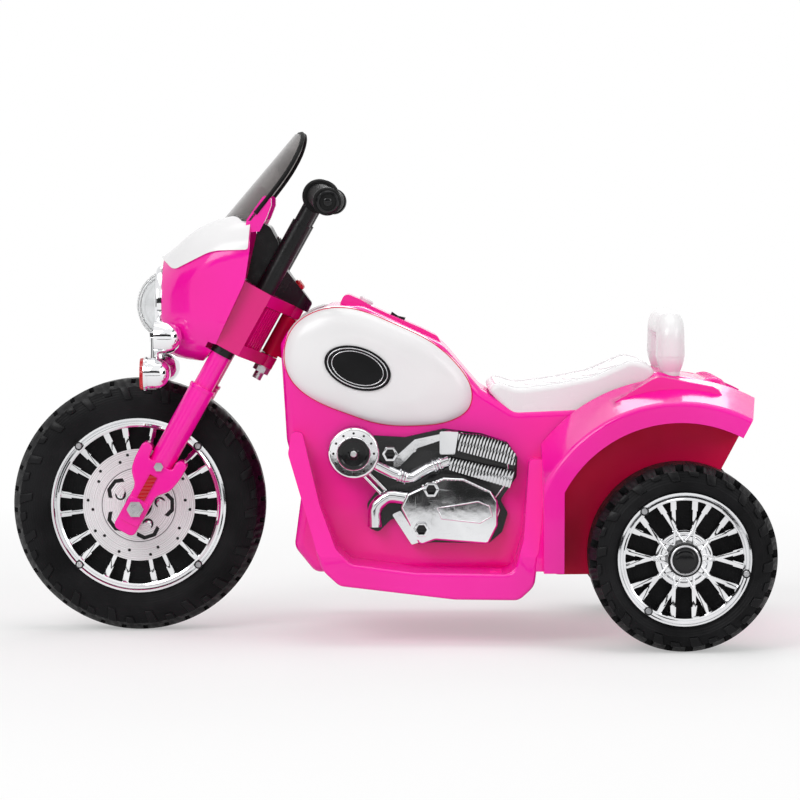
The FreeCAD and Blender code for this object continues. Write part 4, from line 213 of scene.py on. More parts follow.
def lathe(name, profile, steps=48):  # (radius, height) pairs about Z, closed if they start off the axis
    links = [(n, n + 1) for n in range(len(profile) - 1)]
    if profile[0][0] > 0:
        links.append((len(profile) - 1, 0))
    piece = newMesh(name, [(radius * mm, 0, height * mm) for radius, height in profile], links)
    editAll(piece)
    bpy.ops.mesh.spin(steps=steps, angle=2 * pi, center=(0, 0, 0), axis=(0, 0, 1))
    setMode("OBJECT")
    tidyMesh(piece, 1e-5)
    smoothOver(piece)
    return piece


def tubeAlong(name, points, radius, closed=False):
    line = bpy.data.curves.new(name, "CURVE")
    line.dimensions = "3D"
    spline = line.splines.new("POLY")
    spline.points.add(len(points) - 1)
    for spot, point in zip(spline.points, points):
        spot.co = (*point, 1)
    spline.use_cyclic_u = closed
    line.bevel_depth = radius
    line.bevel_resolution = 4
    line.use_fill_caps = True
    addPiece(name, line)
    bpy.ops.object.convert(target="MESH")
    piece = bpy.context.object
    tidyMesh(piece)
    smoothOver(piece, 50)
    return piece


# shader hands: nodes are made with their sockets wired or set
def fill(socket, value):
    if isinstance(value, bpy.types.NodeSocket):
        socket.id_data.links.new(value, socket)
    else:
        socket.default_value = value


def feed(node, **values):
    for key, value in values.items():
        fill(node.inputs[key.replace("_", " ")], value)


def put(tree, kind, **values):
    node = tree.nodes.new("ShaderNode" + kind)
    feed(node, **values)
    return node


def calc(operation, *values):
    wired = [value for value in values if isinstance(value, bpy.types.NodeSocket)]
    node = put(wired[0].id_data, "Math")
    node.operation = operation
    for socket, value in zip(node.inputs, values):
        fill(socket, value)
    return node.outputs[0]


def product(first, second):
    return calc("MULTIPLY", first, second)


def remap(value, low, high, newLow=0.0, newHigh=1.0):
    node = put(value.id_data, "MapRange", Value=value, From_Min=low, From_Max=high, To_Min=newLow,
               To_Max=newHigh)
    return node.outputs["Result"]


def blendColours(factor, *colours):
    node = put(factor.id_data, "Mix", Factor=factor)
    node.data_type = "RGBA"
    for number, colour in enumerate(colours):
        fill(node.inputs[6 + number], (*colour, 1) if isinstance(colour, tuple) else colour)
    return node.outputs[2]


def objectSpot(tree):
    return put(tree, "TexCoord").outputs["Object"]


def objectAxes(tree):
    return put(tree, "SeparateXYZ", Vector=objectSpot(tree)).outputs


def startFinish(name):
    finish = bpy.data.materials.new(name)
    finish.use_nodes = True
    return finish, finish.node_tree.nodes["Principled BSDF"]


def addBump(shader, height, strength, distance):
    bump = put(shader.id_data, "Bump", Height=height, Strength=strength, Distance=distance)
    feed(shader, Normal=bump.outputs["Normal"])


# studio: camera where the photograph was taken, pale floor, soft lamps
studio = {
    "eye": (0.0145, -3.5, 0.4587), "tilt": 3.477, "lens": 146.6, "floorSize": 40, "floorLevel": -0.0004,
    "floorColour": (0.9, 0.9, 0.9, 1), "fadeFrom": 0.62, "fadeTo": 1.5, "shadowLift": 0.4, "skyFill": 0.42,
    "lookAt": (0, 0, 0.2),
    "lamps": {  # place, size and power
        "keyLamp": ((-1.5, -2.3, 2.1), 1.6, 40),
        "topLamp": ((0.2, 0.1, 2.6), 2.0, 22),
        "sideLamp": ((2.2, -1.5, 1.3), 1.4, 14),
        "backLamp": ((0.4, 2.6, 1.7), 1.6, 22),
    },
    "darkCards": {  # place and size
        "cardLow": ((0.1, -1.2, 0.067), (1.5, 0.07)),
        "cardHigh": ((0.0, -2.8, 1.15), (4.2, 0.8)),
        "cardFront": ((-2.4, -0.6, 0.7), (1.6, 0.9)),
        "cardRear": ((2.4, -0.6, 0.7), (1.6, 0.9)),
    },
}


def seenDirectly(tree):  # camera, mirror and see-through rays meet the white background
    path = put(tree, "LightPath").outputs
    mirror = calc("MAXIMUM", path["Is Camera Ray"], path["Is Glossy Ray"])
    return calc("MAXIMUM", mirror, path["Is Transmission Ray"])


def aim(piece, target, axis):
    piece.rotation_euler = (Vector(target) - piece.location).to_track_quat(axis, "Y").to_euler()


def setCamera():
    eye = added("photoCamera", bpy.ops.object.camera_add, location=studio["eye"],
                rotation=(radians(90 - studio["tilt"]), 0, 0))
    eye.data.lens = studio["lens"]
    eye.data.sensor_width = 36
    scene.camera = eye


def floorFinish():
    finish = startFinish("paleFloor")[0]
    tree = finish.node_tree
    tree.nodes.clear()
    reach = put(tree, "VectorMath", Vector=objectSpot(tree))
    reach.operation = "LENGTH"
    far = remap(reach.outputs["Value"], studio["fadeFrom"], studio["fadeTo"], studio["shadowLift"])
    mix = put(tree, "MixShader", Fac=product(far, seenDirectly(tree)))
    fill(mix.inputs[1], put(tree, "BsdfDiffuse", Color=studio["floorColour"]).outputs[0])
    fill(mix.inputs[2], put(tree, "Emission", Strength=1.0).outputs[0])
    put(tree, "OutputMaterial", Surface=mix.outputs[0])
    return finish


def layFloor():
    floor = added("studioFloor", bpy.ops.mesh.primitive_plane_add, size=studio["floorSize"],
                  location=(0, 0, studio["floorLevel"]))
    floor.data.materials.append(floorFinish())


def hangCards():  # black cards that only mirrors see, so that the plating has something dark to show
    finish, shader = startFinish("darkCard")
    feed(shader, Base_Color=(0.01, 0.01, 0.01, 1), Roughness=1)
    for name, (place, size) in studio["darkCards"].items():
        piece = added(name, bpy.ops.mesh.primitive_plane_add, size=1, location=place)
        piece.scale = (*size, 1)
        aim(piece, (0, 0, place[2]), "Z")
        piece.data.materials.append(finish)
        for rays in ("camera", "diffuse", "shadow", "transmission"):
            setattr(piece, "visible_" + rays, False)


def setLamps():
    for name, (place, size, power) in studio["lamps"].items():
        light = added(name, bpy.ops.object.light_add, type="AREA", location=place)
        light.data.size = size
        light.data.energy = power
        aim(light, studio["lookAt"], "-Z")


def setSky():
    sky = bpy.data.worlds.new("studioSky")
    scene.world = sky
    sky.use_nodes = True
    tree = sky.node_tree
    strength = remap(seenDirectly(tree), 0, 1, studio["skyFill"], 1.0)
    feed(tree.nodes["Background"], Color=(1, 1, 1, 1), Strength=strength)


setCamera()
layFloor()
hangCards()
setLamps()
setSky()
scene.view_settings.view_transform = "Standard"
print("studio set")


# shader groups that several finishes share
def newGroup(name, inputs, outputs):
    group = bpy.data.node_groups.new(name, "ShaderNodeTree")
    for key, value in inputs.items():
        kind = "NodeSocketVector" if isinstance(value, tuple) else "NodeSocketFloat"
        socket = group.interface.new_socket(name=key, in_out="INPUT", socket_type=kind)
        socket.default_value = value
    for key in outputs:
        group.interface.new_socket(name=key, in_out="OUTPUT", socket_type="NodeSocketFloat")
    return group, group.nodes.new("NodeGroupInput").outputs, group.nodes.new("NodeGroupOutput")


def mouldedSkinGroup():  # flow marks and fine ripple of a moulded surface
    group, entry, leave = newGroup("mouldedSkin", {"Scale": 60.0}, ["Tone", "Haze", "Height"])
    place = objectSpot(group)
    for key, share, detail, low, high in (("Tone", 0.12, 3, 0.35, 0.65), ("Haze", 0.6, 5, 0.3, 0.7),
                                          ("Height", 1.0, 2, 0.0, 1.0)):
        scale = product(entry["Scale"], share)
        noise = put(group, "TexNoise", Vector=place, Scale=scale, Detail=detail)
        fill(leave.inputs[key], remap(noise.outputs[0], low, high))
    return group


def hairScratchGroup():  # faint hair lines from handling, in two directions
    group, entry, leave = newGroup("hairScratches", {"Scale": 40.0, "Amount": 0.5}, ["Scratch"])
    place = objectSpot(group)
    lines = []
    for turn, stretch in (((0.3, 0.5, 0.2), (1, 1, 16)), ((1.1, 0.2, 0.9), (14, 1, 1))):
        lay = put(group, "Mapping", Vector=place, Rotation=turn, Scale=stretch)
        noise = put(group, "TexNoise", Vector=lay.outputs["Vector"], Scale=entry["Scale"], Detail=4)
        lines.append(remap(noise.outputs[0], 0.63, 0.72))
    feed(leave, Scratch=product(calc("MAXIMUM", *lines), entry["Amount"]))
    return group


def wheelPolarGroup():  # distance from an axle along Y, turn about it, and place along it
    group, entry, leave = newGroup("wheelPolar", {"Centre": (0, 0, 0)}, ["Radius", "Turn", "Side"])
    shift = put(group, "VectorMath", Vector=objectSpot(group))
    shift.operation = "SUBTRACT"
    fill(shift.inputs[1], entry["Centre"])
    axes = put(group, "SeparateXYZ", Vector=shift.outputs[0]).outputs
    squares = [product(axes[way], axes[way]) for way in ("X", "Z")]
    feed(leave, Radius=calc("SQRT", calc("ADD", *squares)),
         Turn=calc("ARCTAN2", axes["Z"], axes["X"]), Side=axes["Y"])
    return group


mouldedSkin = mouldedSkinGroup()
hairScratches = hairScratchGroup()
wheelPolar = wheelPolarGroup()


def placeGroup(shader, group, **values):
    node = put(shader.id_data, "Group")
    node.node_tree = group
    feed(node, **values)
    return node.outputs


def skinFinish(name, grain):
    finish, shader = startFinish(name)
    return finish, shader, placeGroup(shader, mouldedSkin, Scale=grain)


def wornFinish(name, look):  # what moulded plastic, plating and metal have in common
    finish, shader, skin = skinFinish(name, look["ripple"])
    lines = placeGroup(shader, hairScratches, Scale=look["lines"], Amount=look["scratch"])
    colour = blendColours(skin["Tone"], look["deep"], look["bright"])
    haze = remap(skin["Haze"], 0, 1, *look["rough"])
    rough = calc("ADD", haze, product(lines["Scratch"], look["dulling"]))
    feed(shader, Base_Color=colour, Roughness=rough, Metallic=look["metal"])
    addBump(shader, skin["Height"], look["bump"], look["depth"])
    return finish, shader, colour, rough


# finishes: moulded plastics share one build, each with its own look
plasticBase = {"lines": 38.0, "dulling": 0.22, "depth": 0.002, "metal": 0}
plasticFields = ("deep", "bright", "rough", "shine", "ripple", "bump", "coat", "scratch")
plasticLooks = {
    "pinkGloss": ((0.90, 0.003, 0.33), (0.97, 0.006, 0.40), (0.14, 0.24), 0.36, 40, 0.015, 0.25, 0.12),
    # pinkHeadPaintedShade: a darker copy of the pink, painted shade for the recessed steering head and its
    # yoke cheeks
    "pinkHeadPaintedShade": ((0.64, 0.0018, 0.15), (0.72, 0.003, 0.20), (0.14, 0.24), 0.36, 40, 0.015, 0.25, 0.12),
    # pinkPaintedShade: painted shade, a deeper and redder copy of the pink for the wheel wells, the steering
    # neck and the tank seams
    "pinkPaintedShade": ((0.64, 0.001, 0.048), (0.74, 0.0016, 0.075), (0.3, 0.42), 0.15, 90, 0.08, 0.0, 0.2),
    "whiteGloss": ((0.80, 0.79, 0.80), (0.87, 0.865, 0.87), (0.16, 0.26), 0.4, 50, 0.04, 0.1, 0.12),
    "seatWhite": ((0.80, 0.79, 0.80), (0.86, 0.855, 0.86), (0.24, 0.32), 0.35, 40, 0.03, 0.0, 0.1),
    "blackSatin": ((0.004, 0.004, 0.0045), (0.010, 0.010, 0.011), (0.24, 0.38), 0.26, 220, 0.10, 0.0, 0.3),
    "blackGloss": ((0.003, 0.003, 0.0035), (0.007, 0.007, 0.008), (0.08, 0.18), 0.3, 70, 0.04, 0.1, 0.2),
    "deepBlack": ((0.003, 0.003, 0.0035), (0.007, 0.007, 0.008), (0.28, 0.42), 0.17, 190, 0.10, 0.0, 0.3),
    "gripRubber": ((0.004, 0.004, 0.004), (0.010, 0.010, 0.010), (0.45, 0.62), 0.16, 420, 0.35, 0.0, 0.1),
    "gearNylon": ((0.62, 0.60, 0.54), (0.76, 0.75, 0.70), (0.35, 0.5), 0.4, 160, 0.10, 0.0, 0.4),
    "batteryGrey": ((0.02, 0.021, 0.024), (0.045, 0.046, 0.05), (0.4, 0.6), 0.3, 300, 0.2, 0.0, 0.5),
}


def plasticFinish(name):
    look = plasticBase | dict(zip(plasticFields, plasticLooks[name]))
    finish, shader = wornFinish(name, look)[:2]
    feed(shader, Specular_IOR_Level=look["shine"], Coat_Weight=look["coat"], Coat_Roughness=0.05)
    return finish


plated = {"deep": (0.66, 0.665, 0.68), "bright": (0.88, 0.885, 0.90), "rough": (0.03, 0.09), "ripple": 75.0,
          "lines": 45.0, "scratch": 0.5, "dulling": 0.15, "bump": 0.02, "depth": 0.002, "metal": 1}
enamel = {"colour": (0.006, 0.006, 0.007), "below": 0.0846, "finsBelow": 0.0935, "finsFrom": (0.068, 0.172),
          "edge": 0.0004, "rougher": 0.16}


def enginePlating():  # bright plating over dark enamel, which lies deeper between the fins
    finish, shader, colour, rough = wornFinish("enginePlating", plated)
    axes = objectAxes(shader.id_data)
    behind = calc("GREATER_THAN", axes["X"], enamel["finsFrom"][0])
    above = calc("GREATER_THAN", axes["Z"], enamel["finsFrom"][1])
    deeper = remap(product(behind, above), 0, 1, 0, enamel["finsBelow"] - enamel["below"])
    level = calc("SUBTRACT", calc("ABSOLUTE", axes["Y"]), deeper)
    bright = remap(level, enamel["below"] - enamel["edge"], enamel["below"])
    rougher = calc("ADD", rough, remap(bright, 0, 1, enamel["rougher"], 0))
    feed(shader, Base_Color=blendColours(bright, enamel["colour"], colour), Metallic=bright,
         Roughness=rougher)
    return finish


metalBase = {"lines": 90.0, "scratch": 0.8, "dulling": 0.2, "bump": 0.12, "depth": 0.001, "metal": 1}
metalFields = ("deep", "bright", "rough", "ripple")
metalLooks = {
    "zincSteel": ((0.34, 0.345, 0.36), (0.62, 0.62, 0.63), (0.2, 0.42), 260),
    "badgeSilver": ((0.58, 0.58, 0.6), (0.8, 0.8, 0.82), (0.16, 0.3), 320),
}


def axleOf(name):  # middle of a round node, which is its axle
    return sum(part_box(name), Vector()) / 2


tyreLook = {"deep": (0.004, 0.004, 0.0045), "worn": (0.011, 0.011, 0.012), "rough": (0.34, 0.55), "shine": 0.1,
            "treadCount": 96, "treadSlant": 160, "treadEdge": 0.0015, "wallRings": 2400,
            "ribShare": 0.55, "ringShare": 0.08, "skinShare": 0.3, "grain": 190.0, "lines": 30.0,
            "scratch": 0.5, "bump": (0.5, 0.0012)}


def tyreFinish(name, node, treadFrom):  # fine cross ribs on the crown, mould rings on the side walls
    look = tyreLook
    finish, shader, skin = skinFinish(name, look["grain"])
    polar = placeGroup(shader, wheelPolar, Centre=axleOf(node))
    lines = placeGroup(shader, hairScratches, Scale=look["lines"], Amount=look["scratch"])
    tone = calc("MAXIMUM", skin["Tone"], lines["Scratch"])
    feed(shader, Base_Color=blendColours(tone, look["deep"], look["worn"]),
         Roughness=remap(skin["Haze"], 0, 1, *look["rough"]), Specular_IOR_Level=look["shine"])
    onCrown = remap(polar["Radius"], treadFrom - look["treadEdge"], treadFrom)
    slant = product(calc("ABSOLUTE", polar["Side"]), look["treadSlant"])
    around = calc("ADD", product(polar["Turn"], look["treadCount"]), slant)
    ribs = product(calc("SINE", around), onCrown)
    rings = calc("SINE", product(polar["Radius"], look["wallRings"]))
    soft = product(rings, calc("SUBTRACT", 1, onCrown))
    height = calc("ADD", product(ribs, look["ribShare"]), product(soft, look["ringShare"]))
    addBump(shader, calc("ADD", height, product(skin["Height"], look["skinShare"])), *look["bump"])
    return finish


discLook = {"deep": (0.74, 0.745, 0.75), "bright": (0.88, 0.88, 0.89), "rough": (0.2, 0.34), "metal": 0.35,
            "lineRadius": 0.0395, "lineWidth": 0.0007, "lineColour": (0.2, 0.2, 0.21), "lineTone": 0.1,
            "grain": 120.0, "marks": 900.0, "bump": (0.06, 0.0006)}


def discFinish():  # satin silver with turning marks and one engraved circle
    look = discLook
    finish, shader, skin = skinFinish("discSilver", look["grain"])
    polar = placeGroup(shader, wheelPolar, Centre=axleOf("brake_discs"))
    marks = put(shader.id_data, "TexNoise", Scale=look["marks"], Detail=3)
    marks.noise_dimensions = "1D"
    feed(marks, W=polar["Radius"])
    fromLine = calc("ABSOLUTE", calc("SUBTRACT", polar["Radius"], look["lineRadius"]))
    line = remap(fromLine, look["lineWidth"] / 2, look["lineWidth"], 1, 0)
    tone = product(skin["Tone"], remap(line, 0, 1, 1, look["lineTone"]))
    silver = blendColours(tone, look["deep"], look["bright"])
    feed(shader, Base_Color=blendColours(line, silver, look["lineColour"]),
         Roughness=remap(marks.outputs[0], 0.3, 0.7, *look["rough"]), Metallic=look["metal"])
    addBump(shader, calc("SUBTRACT", marks.outputs[0], line), *look["bump"])
    return finish


lensBase = {"grain": 45.0, "bends": 1.49, "skinShare": 0.2, "depth": 0.001}
lensLooks = {  # deep and bright colour, share let through, roughness, flutes and their axis, bump
    "clearLens": ((0.92, 0.93, 0.94), (0.97, 0.975, 0.98), 0.84, (0.04, 0.12), 900, "Y", 0.10),
    "smokeSheet": ((0.24, 0.215, 0.21), (0.36, 0.33, 0.325), 1.0, (0.02, 0.09), 0, "Y", 0.02),
    "redLens": ((0.62, 0.004, 0.012), (0.86, 0.012, 0.03), 0.35, (0.06, 0.16), 1600, "Z", 0.25),
}


def lensFinish(name):  # moulded lens with flutes across one direction
    deep, bright, through, rough, flutes, across, bump = lensLooks[name]
    finish, shader, skin = skinFinish(name, lensBase["grain"])
    feed(shader, Base_Color=blendColours(skin["Tone"], deep, bright), Transmission_Weight=through,
         Roughness=remap(skin["Haze"], 0, 1, *rough), IOR=lensBase["bends"])
    wave = calc("SINE", product(objectAxes(shader.id_data)[across], flutes))
    addBump(shader, calc("ADD", wave, product(skin["Height"], lensBase["skinShare"])), bump, lensBase["depth"])
    return finish


boardLook = {"mask": (0.008, 0.11, 0.035), "copper": (0.03, 0.22, 0.07), "pitch": 420, "rough": (0.25, 0.45),
             "grain": 200.0, "edge": (0.25, 0.32), "bump": (0.2, 0.0004)}


def boardFinish():  # solder mask with tracks showing through
    finish, shader, skin = skinFinish("circuitGreen", boardLook["grain"])
    tracks = put(shader.id_data, "TexVoronoi", Vector=objectSpot(shader.id_data), Scale=boardLook["pitch"])
    tracks.distance = "CHEBYCHEV"
    lines = remap(tracks.outputs["Distance"], *boardLook["edge"])
    feed(shader, Base_Color=blendColours(lines, boardLook["mask"], boardLook["copper"]),
         Roughness=remap(skin["Haze"], 0, 1, *boardLook["rough"]))
    addBump(shader, lines, *boardLook["bump"])
    return finish


finishes = {name: plasticFinish(name) for name in plasticLooks}
for name, row in metalLooks.items():
    finishes[name] = wornFinish(name, metalBase | dict(zip(metalFields, row)))[0]
finishes |= {name: lensFinish(name) for name in lensLooks}
finishes |= {
    "chrome": wornFinish("brightPlating", plated)[0],
    "enginePlating": enginePlating(),
    "discSilver": discFinish(),
    "circuitGreen": boardFinish(),
    "frontTyreBlack": tyreFinish("frontTyreBlack", "front_tyre", 0.128),
}
for side in sides:
    finishes[f"rearTyreBlack_{side}"] = tyreFinish(f"rearTyreBlack_{side}", f"rear_tyre_{side}", 0.0915)
finishes["badgeBlack"] = finishes["deepBlack"]
print("finishes mixed")


# finishing: each piece gets its look, its body and the node that it stands for
lookTable = {  # each look's slot, and the nodes that wear it
    "pinkGloss": ("pink_plastic", "body_shell_left", "body_shell_right", "belly_pan", "fairing", "fork_tubes",
                  "tail_cowl", "tank_console"),
    "whiteGloss": ("white_plastic", "tank_panel_left", "tank_panel_right", "fairing_cap", "start_button"),
    "blackSatin": ("black_plastic", "dash", "handlebars", "hubcap_left", "hubcap_right", "fork_collars",
                   "power_switch", "foot_pedal", "gearbox_case", "charging_socket"),
    "gripRubber": ("grip_rubber", "grip_left", "grip_right"),
    "chrome": ("plated_plastic", "front_rim_left", "front_rim_right", "rear_rim_left", "rear_rim_right",
               "headlight_bezel", "headlight_bowl", "lamp_brackets"),
    "discSilver": ("disc_silver", "brake_discs"),
    "zincSteel": ("steel", "front_axle", "rear_axle", "steering_bolt", "fork_fasteners", "shell_screws",
                  "motor"),
    "clearLens": ("clear_plastic", "headlight_lens"),
    "smokeSheet": ("smoke_plastic", "windscreen"),
    "redLens": ("red_plastic", "fork_reflectors", "signal_lenses", "horn_button", "music_button"),
    "gearNylon": ("gear_nylon", "drive_gear", "idler_gear", "motor_pinion"),
    "batteryGrey": ("battery_case", "battery"),
    "circuitGreen": ("circuit_board", "control_board"),
    "seatWhite": ("white_plastic", "seat"),
    # the steering neck between the yoke plates wears the painted-shade pink
    "pinkPaintedShade": ("pink_plastic", "steering_neck"),
    # the steering head wears a darker pink as painted shade
    "pinkHeadPaintedShade": ("pink_plastic", "steering_head"),
    "frontTyreBlack": ("tyre_plastic", "front_tyre"),
    "rearTyreBlack_left": ("tyre_plastic", "rear_tyre_left"),
    "rearTyreBlack_right": ("tyre_plastic", "rear_tyre_right"),
    "enginePlating": ("plated_plastic", "engine_cover_left", "engine_cover_right"),
    "badgeBlack": ("black_plastic", "tank_badges"),
    "blackGloss": ("black_plastic",),
    "deepBlack": ("tyre_plastic",),
    "badgeSilver": ("plated_plastic",),
}


def finishPiece(piece, look, body, *replaced):
    if len(piece.data.materials) == 0:
        piece.data.materials.append(finishes[look])
    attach(piece, body)
    if replaced:
        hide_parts(*replaced)
    return piece


def bothSides(piece, look):
    right = mirrorOf(piece, piece.name + "_right")
    piece.name += "_left"
    for twin in (piece, right):
        finishPiece(twin, look, "chassis")


def turned(name, profile, steps, place, facing, look, body):
    piece = lathe(name, profile, steps)
    settle(piece, place, facing)
    finishPiece(piece, look, body)


# dressing: each CAD node gets a merged, smooth copy in its own finish
dressed = {}
softMoulding = 0.0012  # edge rounding of the pink shells
roundings = {"pinkGloss": softMoulding, "pinkHeadPaintedShade": softMoulding, "chrome": 0.0005, "enginePlating": 0.0005}
finArea = {"from": 0.0645, "low": 0.1777, "fall": 0.3, "upperRow": 0.1935, "upperFrom": 0.0735}


def overFins(spot):
    start = finArea["upperFrom"] if spot.z > finArea["upperRow"] else finArea["from"]
    return spot.x > start and spot.z > finArea["low"] - finArea["fall"] * (spot.x - finArea["from"])


def dress(node, look):
    piece = addPiece(node + "_dressed", nodes[node].data.copy())
    bpy.ops.mesh.customdata_custom_splitnormals_clear()
    tidyMesh(piece, 2e-6, False)
    rounding = roundings.get(look)
    if rounding:
        setMode("EDIT")
        bpy.ops.mesh.dissolve_limited(angle_limit=radians(0.1 if rounding == softMoulding else 1))
        setMode("OBJECT")
        roundEdges(piece, rounding)
    smoothOver(piece, 30)
    if rounding == softMoulding:
        evenShading(piece)
    piece.data.materials.clear()
    dressed[node] = finishPiece(piece, look, bodyOf[node], node)


for look, row in lookTable.items():
    for node in row[1:]:
        dress(node, look)
for side in sides:
    evenShading(dressed[f"engine_cover_{side}"], overFins)
print("nodes dressed")

# wheel wells: painted shade, a deeper and redder pink on the faces inside the arches, where little light gets
# in
wells = {"axle": (0.304, 0.096), "reach": 0.142, "from": 0.07, "to": 0.152}


def paintShadeInWell(shell):
    shell.data.materials.append(finishes["pinkPaintedShade"])
    for face in shell.data.polygons:
        middle = face.center
        away = hypot(middle.x - wells["axle"][0], middle.z - wells["axle"][1])
        if away < wells["reach"] and wells["from"] < abs(middle.y) < wells["to"]:
            face.material_index = 1


for side in sides:
    paintShadeInWell(dressed[f"body_shell_{side}"])
print("wheel wells shaded")

# wheel trim: stepped lips, screws, disc bolts, hub flanges with bars, and hub rings
wheelTrim = {
    "screw": (3.3, 1.6), "bolt": (4.2, 1.8),
    "screwWasher": [(2.4, -1.4), (2.4, 0.6), (4.4, 0.6), (4.7, -1.4)],
    "washer": [(3, -0.4), (3, 0.4), (5.8, 0.4), (6.1, -0.4)],
    "frontScrews": {"radius": 0.090, "turns": (45, 135, 225, 315), "face": 0.0302},
    "rearScrews": {"radius": 0.0642, "turns": (130, -13, -125), "face": 0.2066},
    "discBolts": {"radius": 0.0225, "turns": (151, 223, 295, 367, 439), "face": 0.0238},
    "barCount": 10, "barRun": ((0.0172, -0.0044), (0.0312, -0.0004)), "barFace": 0.1968, "barWire": 0.0014,
}
frontRings = {  # face, steps, look and profile
    "frontRimLip": (0.028, 96, "chrome", [(83.6, -1), (84.2, 1.6), (86, 2.6), (88, 1.2), (89.6, 1.2),
        (91.2, 2.8), (93.4, 2.6), (94.4, 0.4), (94.4, -1)]),
    "discBacking": (0.0213, 64, "blackSatin", [(14, 0), (14, 0.5), (56, 0.5), (56, 0)]),
}
rearRings = {
    "rearRimLip": (0.205, 80, "chrome", [(60, -1), (60.6, 1.2), (62, 1.8), (63.2, 0.8), (65.2, 0.8),
        (66.4, 2.2), (68.2, 2), (69, 0.3), (69, -1)]),
    "hubFlange": (0.195, 80, "chrome", [(17, -1), (17, 0.8), (23.5, 1), (24.6, 2.1), (26.8, 2.3), (29.2, 1.5),
        (30.2, -0.4), (30.2, -1)]),
    "hubRing": (0.212, 48, "badgeSilver", [(13.2, -0.6), (13.5, 0.4), (14.5, 0.7), (15.2, 0.2), (15.2, -0.6)]),
    "hubDish": (0.212, 48, "blackGloss", [(0, 0.9), (7, 0.8), (10.5, 0.3), (11.8, -0.6), (0, -0.6)]),
}
screwShape = {"profile": [(0, -1), (1, -1), (1, 0.35), (0.82, 0.8), (0, 1)], "slot": (1.25, 0.3, 0.9)}
frontAxle = axleOf("front_tyre")
rearAxles = {side: axleOf(f"rear_tyre_{side}") for side in sides}


def aboutAxle(axle, radius, angle, face):
    turn = radians(angle)
    return (axle.x + radius * cos(turn), face, axle.z + radius * sin(turn))


def crossScrew(name, radius, height):
    head = lathe(name, [(radius * out, height * up) for out, up in screwShape["profile"]], 24)
    for spin in (0, 90):
        bar = newCube("slotBar", location=(0, 0, height * mm), rotation=(0, 0, radians(spin)))
        bar.scale = Vector((radius, radius, height)) * Vector(screwShape["slot"]) * mm
        modify(head, "BOOLEAN", object=bar)
        bpy.data.objects.remove(bar)
    smoothOver(head, 35)
    return head


def layRings(rings, side, axle, wheel):
    for name, (face, steps, look, profile) in rings.items():
        place = aboutAxle(axle, 0, 0, sides[side] * face)
        turned(f"{name}_{side}", profile, steps, place, (0, sides[side], 0), look, wheel)


def ringOf(master, label, side, ring, axle, spun=False):
    spots = [aboutAxle(axle, ring["radius"], turn, sides[side] * ring["face"]) for turn in ring["turns"]]
    return copiesAt(master, f"{label}_{side}", spots, (0, sides[side], 0), ring["turns"] if spun else None)


def hubBars(side):  # the inner ends of the spokes, over the flange
    bars = []
    for number in range(2 * wheelTrim["barCount"]):
        way = 1 if number % 2 else -1
        middle = number // 2 * 360 / wheelTrim["barCount"]
        ends = [aboutAxle(rearAxles[side], radius, middle + way * degrees(shift / radius),
                          sides[side] * wheelTrim["barFace"]) for radius, shift in wheelTrim["barRun"]]
        bars.append(tubeAlong(f"hubBar_{side}_{number}", ends, wheelTrim["barWire"]))
    return joinAll(bars, f"hubBars_{side}")


def trimWheels():
    trim = wheelTrim
    screw = crossScrew("wheelScrew", *trim["screw"])
    bolt = crossScrew("discBolt", *trim["bolt"])
    washer = lathe("washerMaster", trim["washer"], 24)
    screwWasher = lathe("screwWasherMaster", trim["screwWasher"], 24)
    frontScrews = []
    for side, axle in rearAxles.items():
        wheel = f"rear_wheel_{side}"
        layRings(frontRings, side, frontAxle, "front_wheel")
        frontScrews += ringOf(screw, "frontScrew", side, trim["frontScrews"], frontAxle, True)
        washers = ringOf(screwWasher, "frontScrewWasher", side, trim["frontScrews"], frontAxle)
        bolts = ringOf(bolt, "discBolt", side, trim["discBolts"], frontAxle)
        washers += ringOf(washer, "discWasher", side, trim["discBolts"], frontAxle)
        finishPiece(joinAll(bolts, f"discBolts_{side}"), "chrome", "front_wheel")
        finishPiece(joinAll(washers, f"frontWashers_{side}"), "blackSatin", "front_wheel")
        layRings(rearRings, side, axle, wheel)
        screws = ringOf(screw, "rearScrew", side, trim["rearScrews"], axle, True)
        washers = ringOf(screwWasher, "rearScrewWasher", side, trim["rearScrews"], axle)
        finishPiece(joinAll(washers, f"rearScrewWashers_{side}"), "blackSatin", wheel)
        finishPiece(joinAll(screws, f"rearScrews_{side}"), "zincSteel", wheel)
        finishPiece(hubBars(side), "chrome", wheel)
    finishPiece(joinAll(frontScrews, "frontRimScrews"), "zincSteel", "front_wheel", "front_wheel_screws")
    for master in (screw, bolt, washer, screwWasher):
        bpy.data.objects.remove(master)


trimWheels()
print("wheels trimmed")

# tyre lugs: slanted blocks on both shoulders, long and short by turns
lugTrim = {
    "front": {"from": (0.1135, 0.0306), "to": (0.1272, 0.0269), "count": 36, "width": 0.0078},
    "rear": {"from": (0.0800, 0.0386), "to": (0.0896, 0.0351), "count": 28, "width": 0.0088},
    "track": 0.168, "proud": 0.0021, "sunk": 0.0012, "slant": 0.32, "flare": 1.25, "shortShare": 0.5,
    "edge": 0.0009,
}


def lugBlock(name, length, width):  # own X runs outwards along the wall, own Z stands off it
    block = newCube(name)
    for vertex in block.data.vertices:
        outward = vertex.co.x + 0.5
        wide = width * (1 + (lugTrim["flare"] - 1) * outward)
        stand = lugTrim["proud"] if vertex.co.z > 0 else -lugTrim["sunk"]
        vertex.co = (outward * length, vertex.co.y * wide + lugTrim["slant"] * outward * length, stand)
    roundEdges(block, lugTrim["edge"])
    smoothOver(block, 60)
    return block


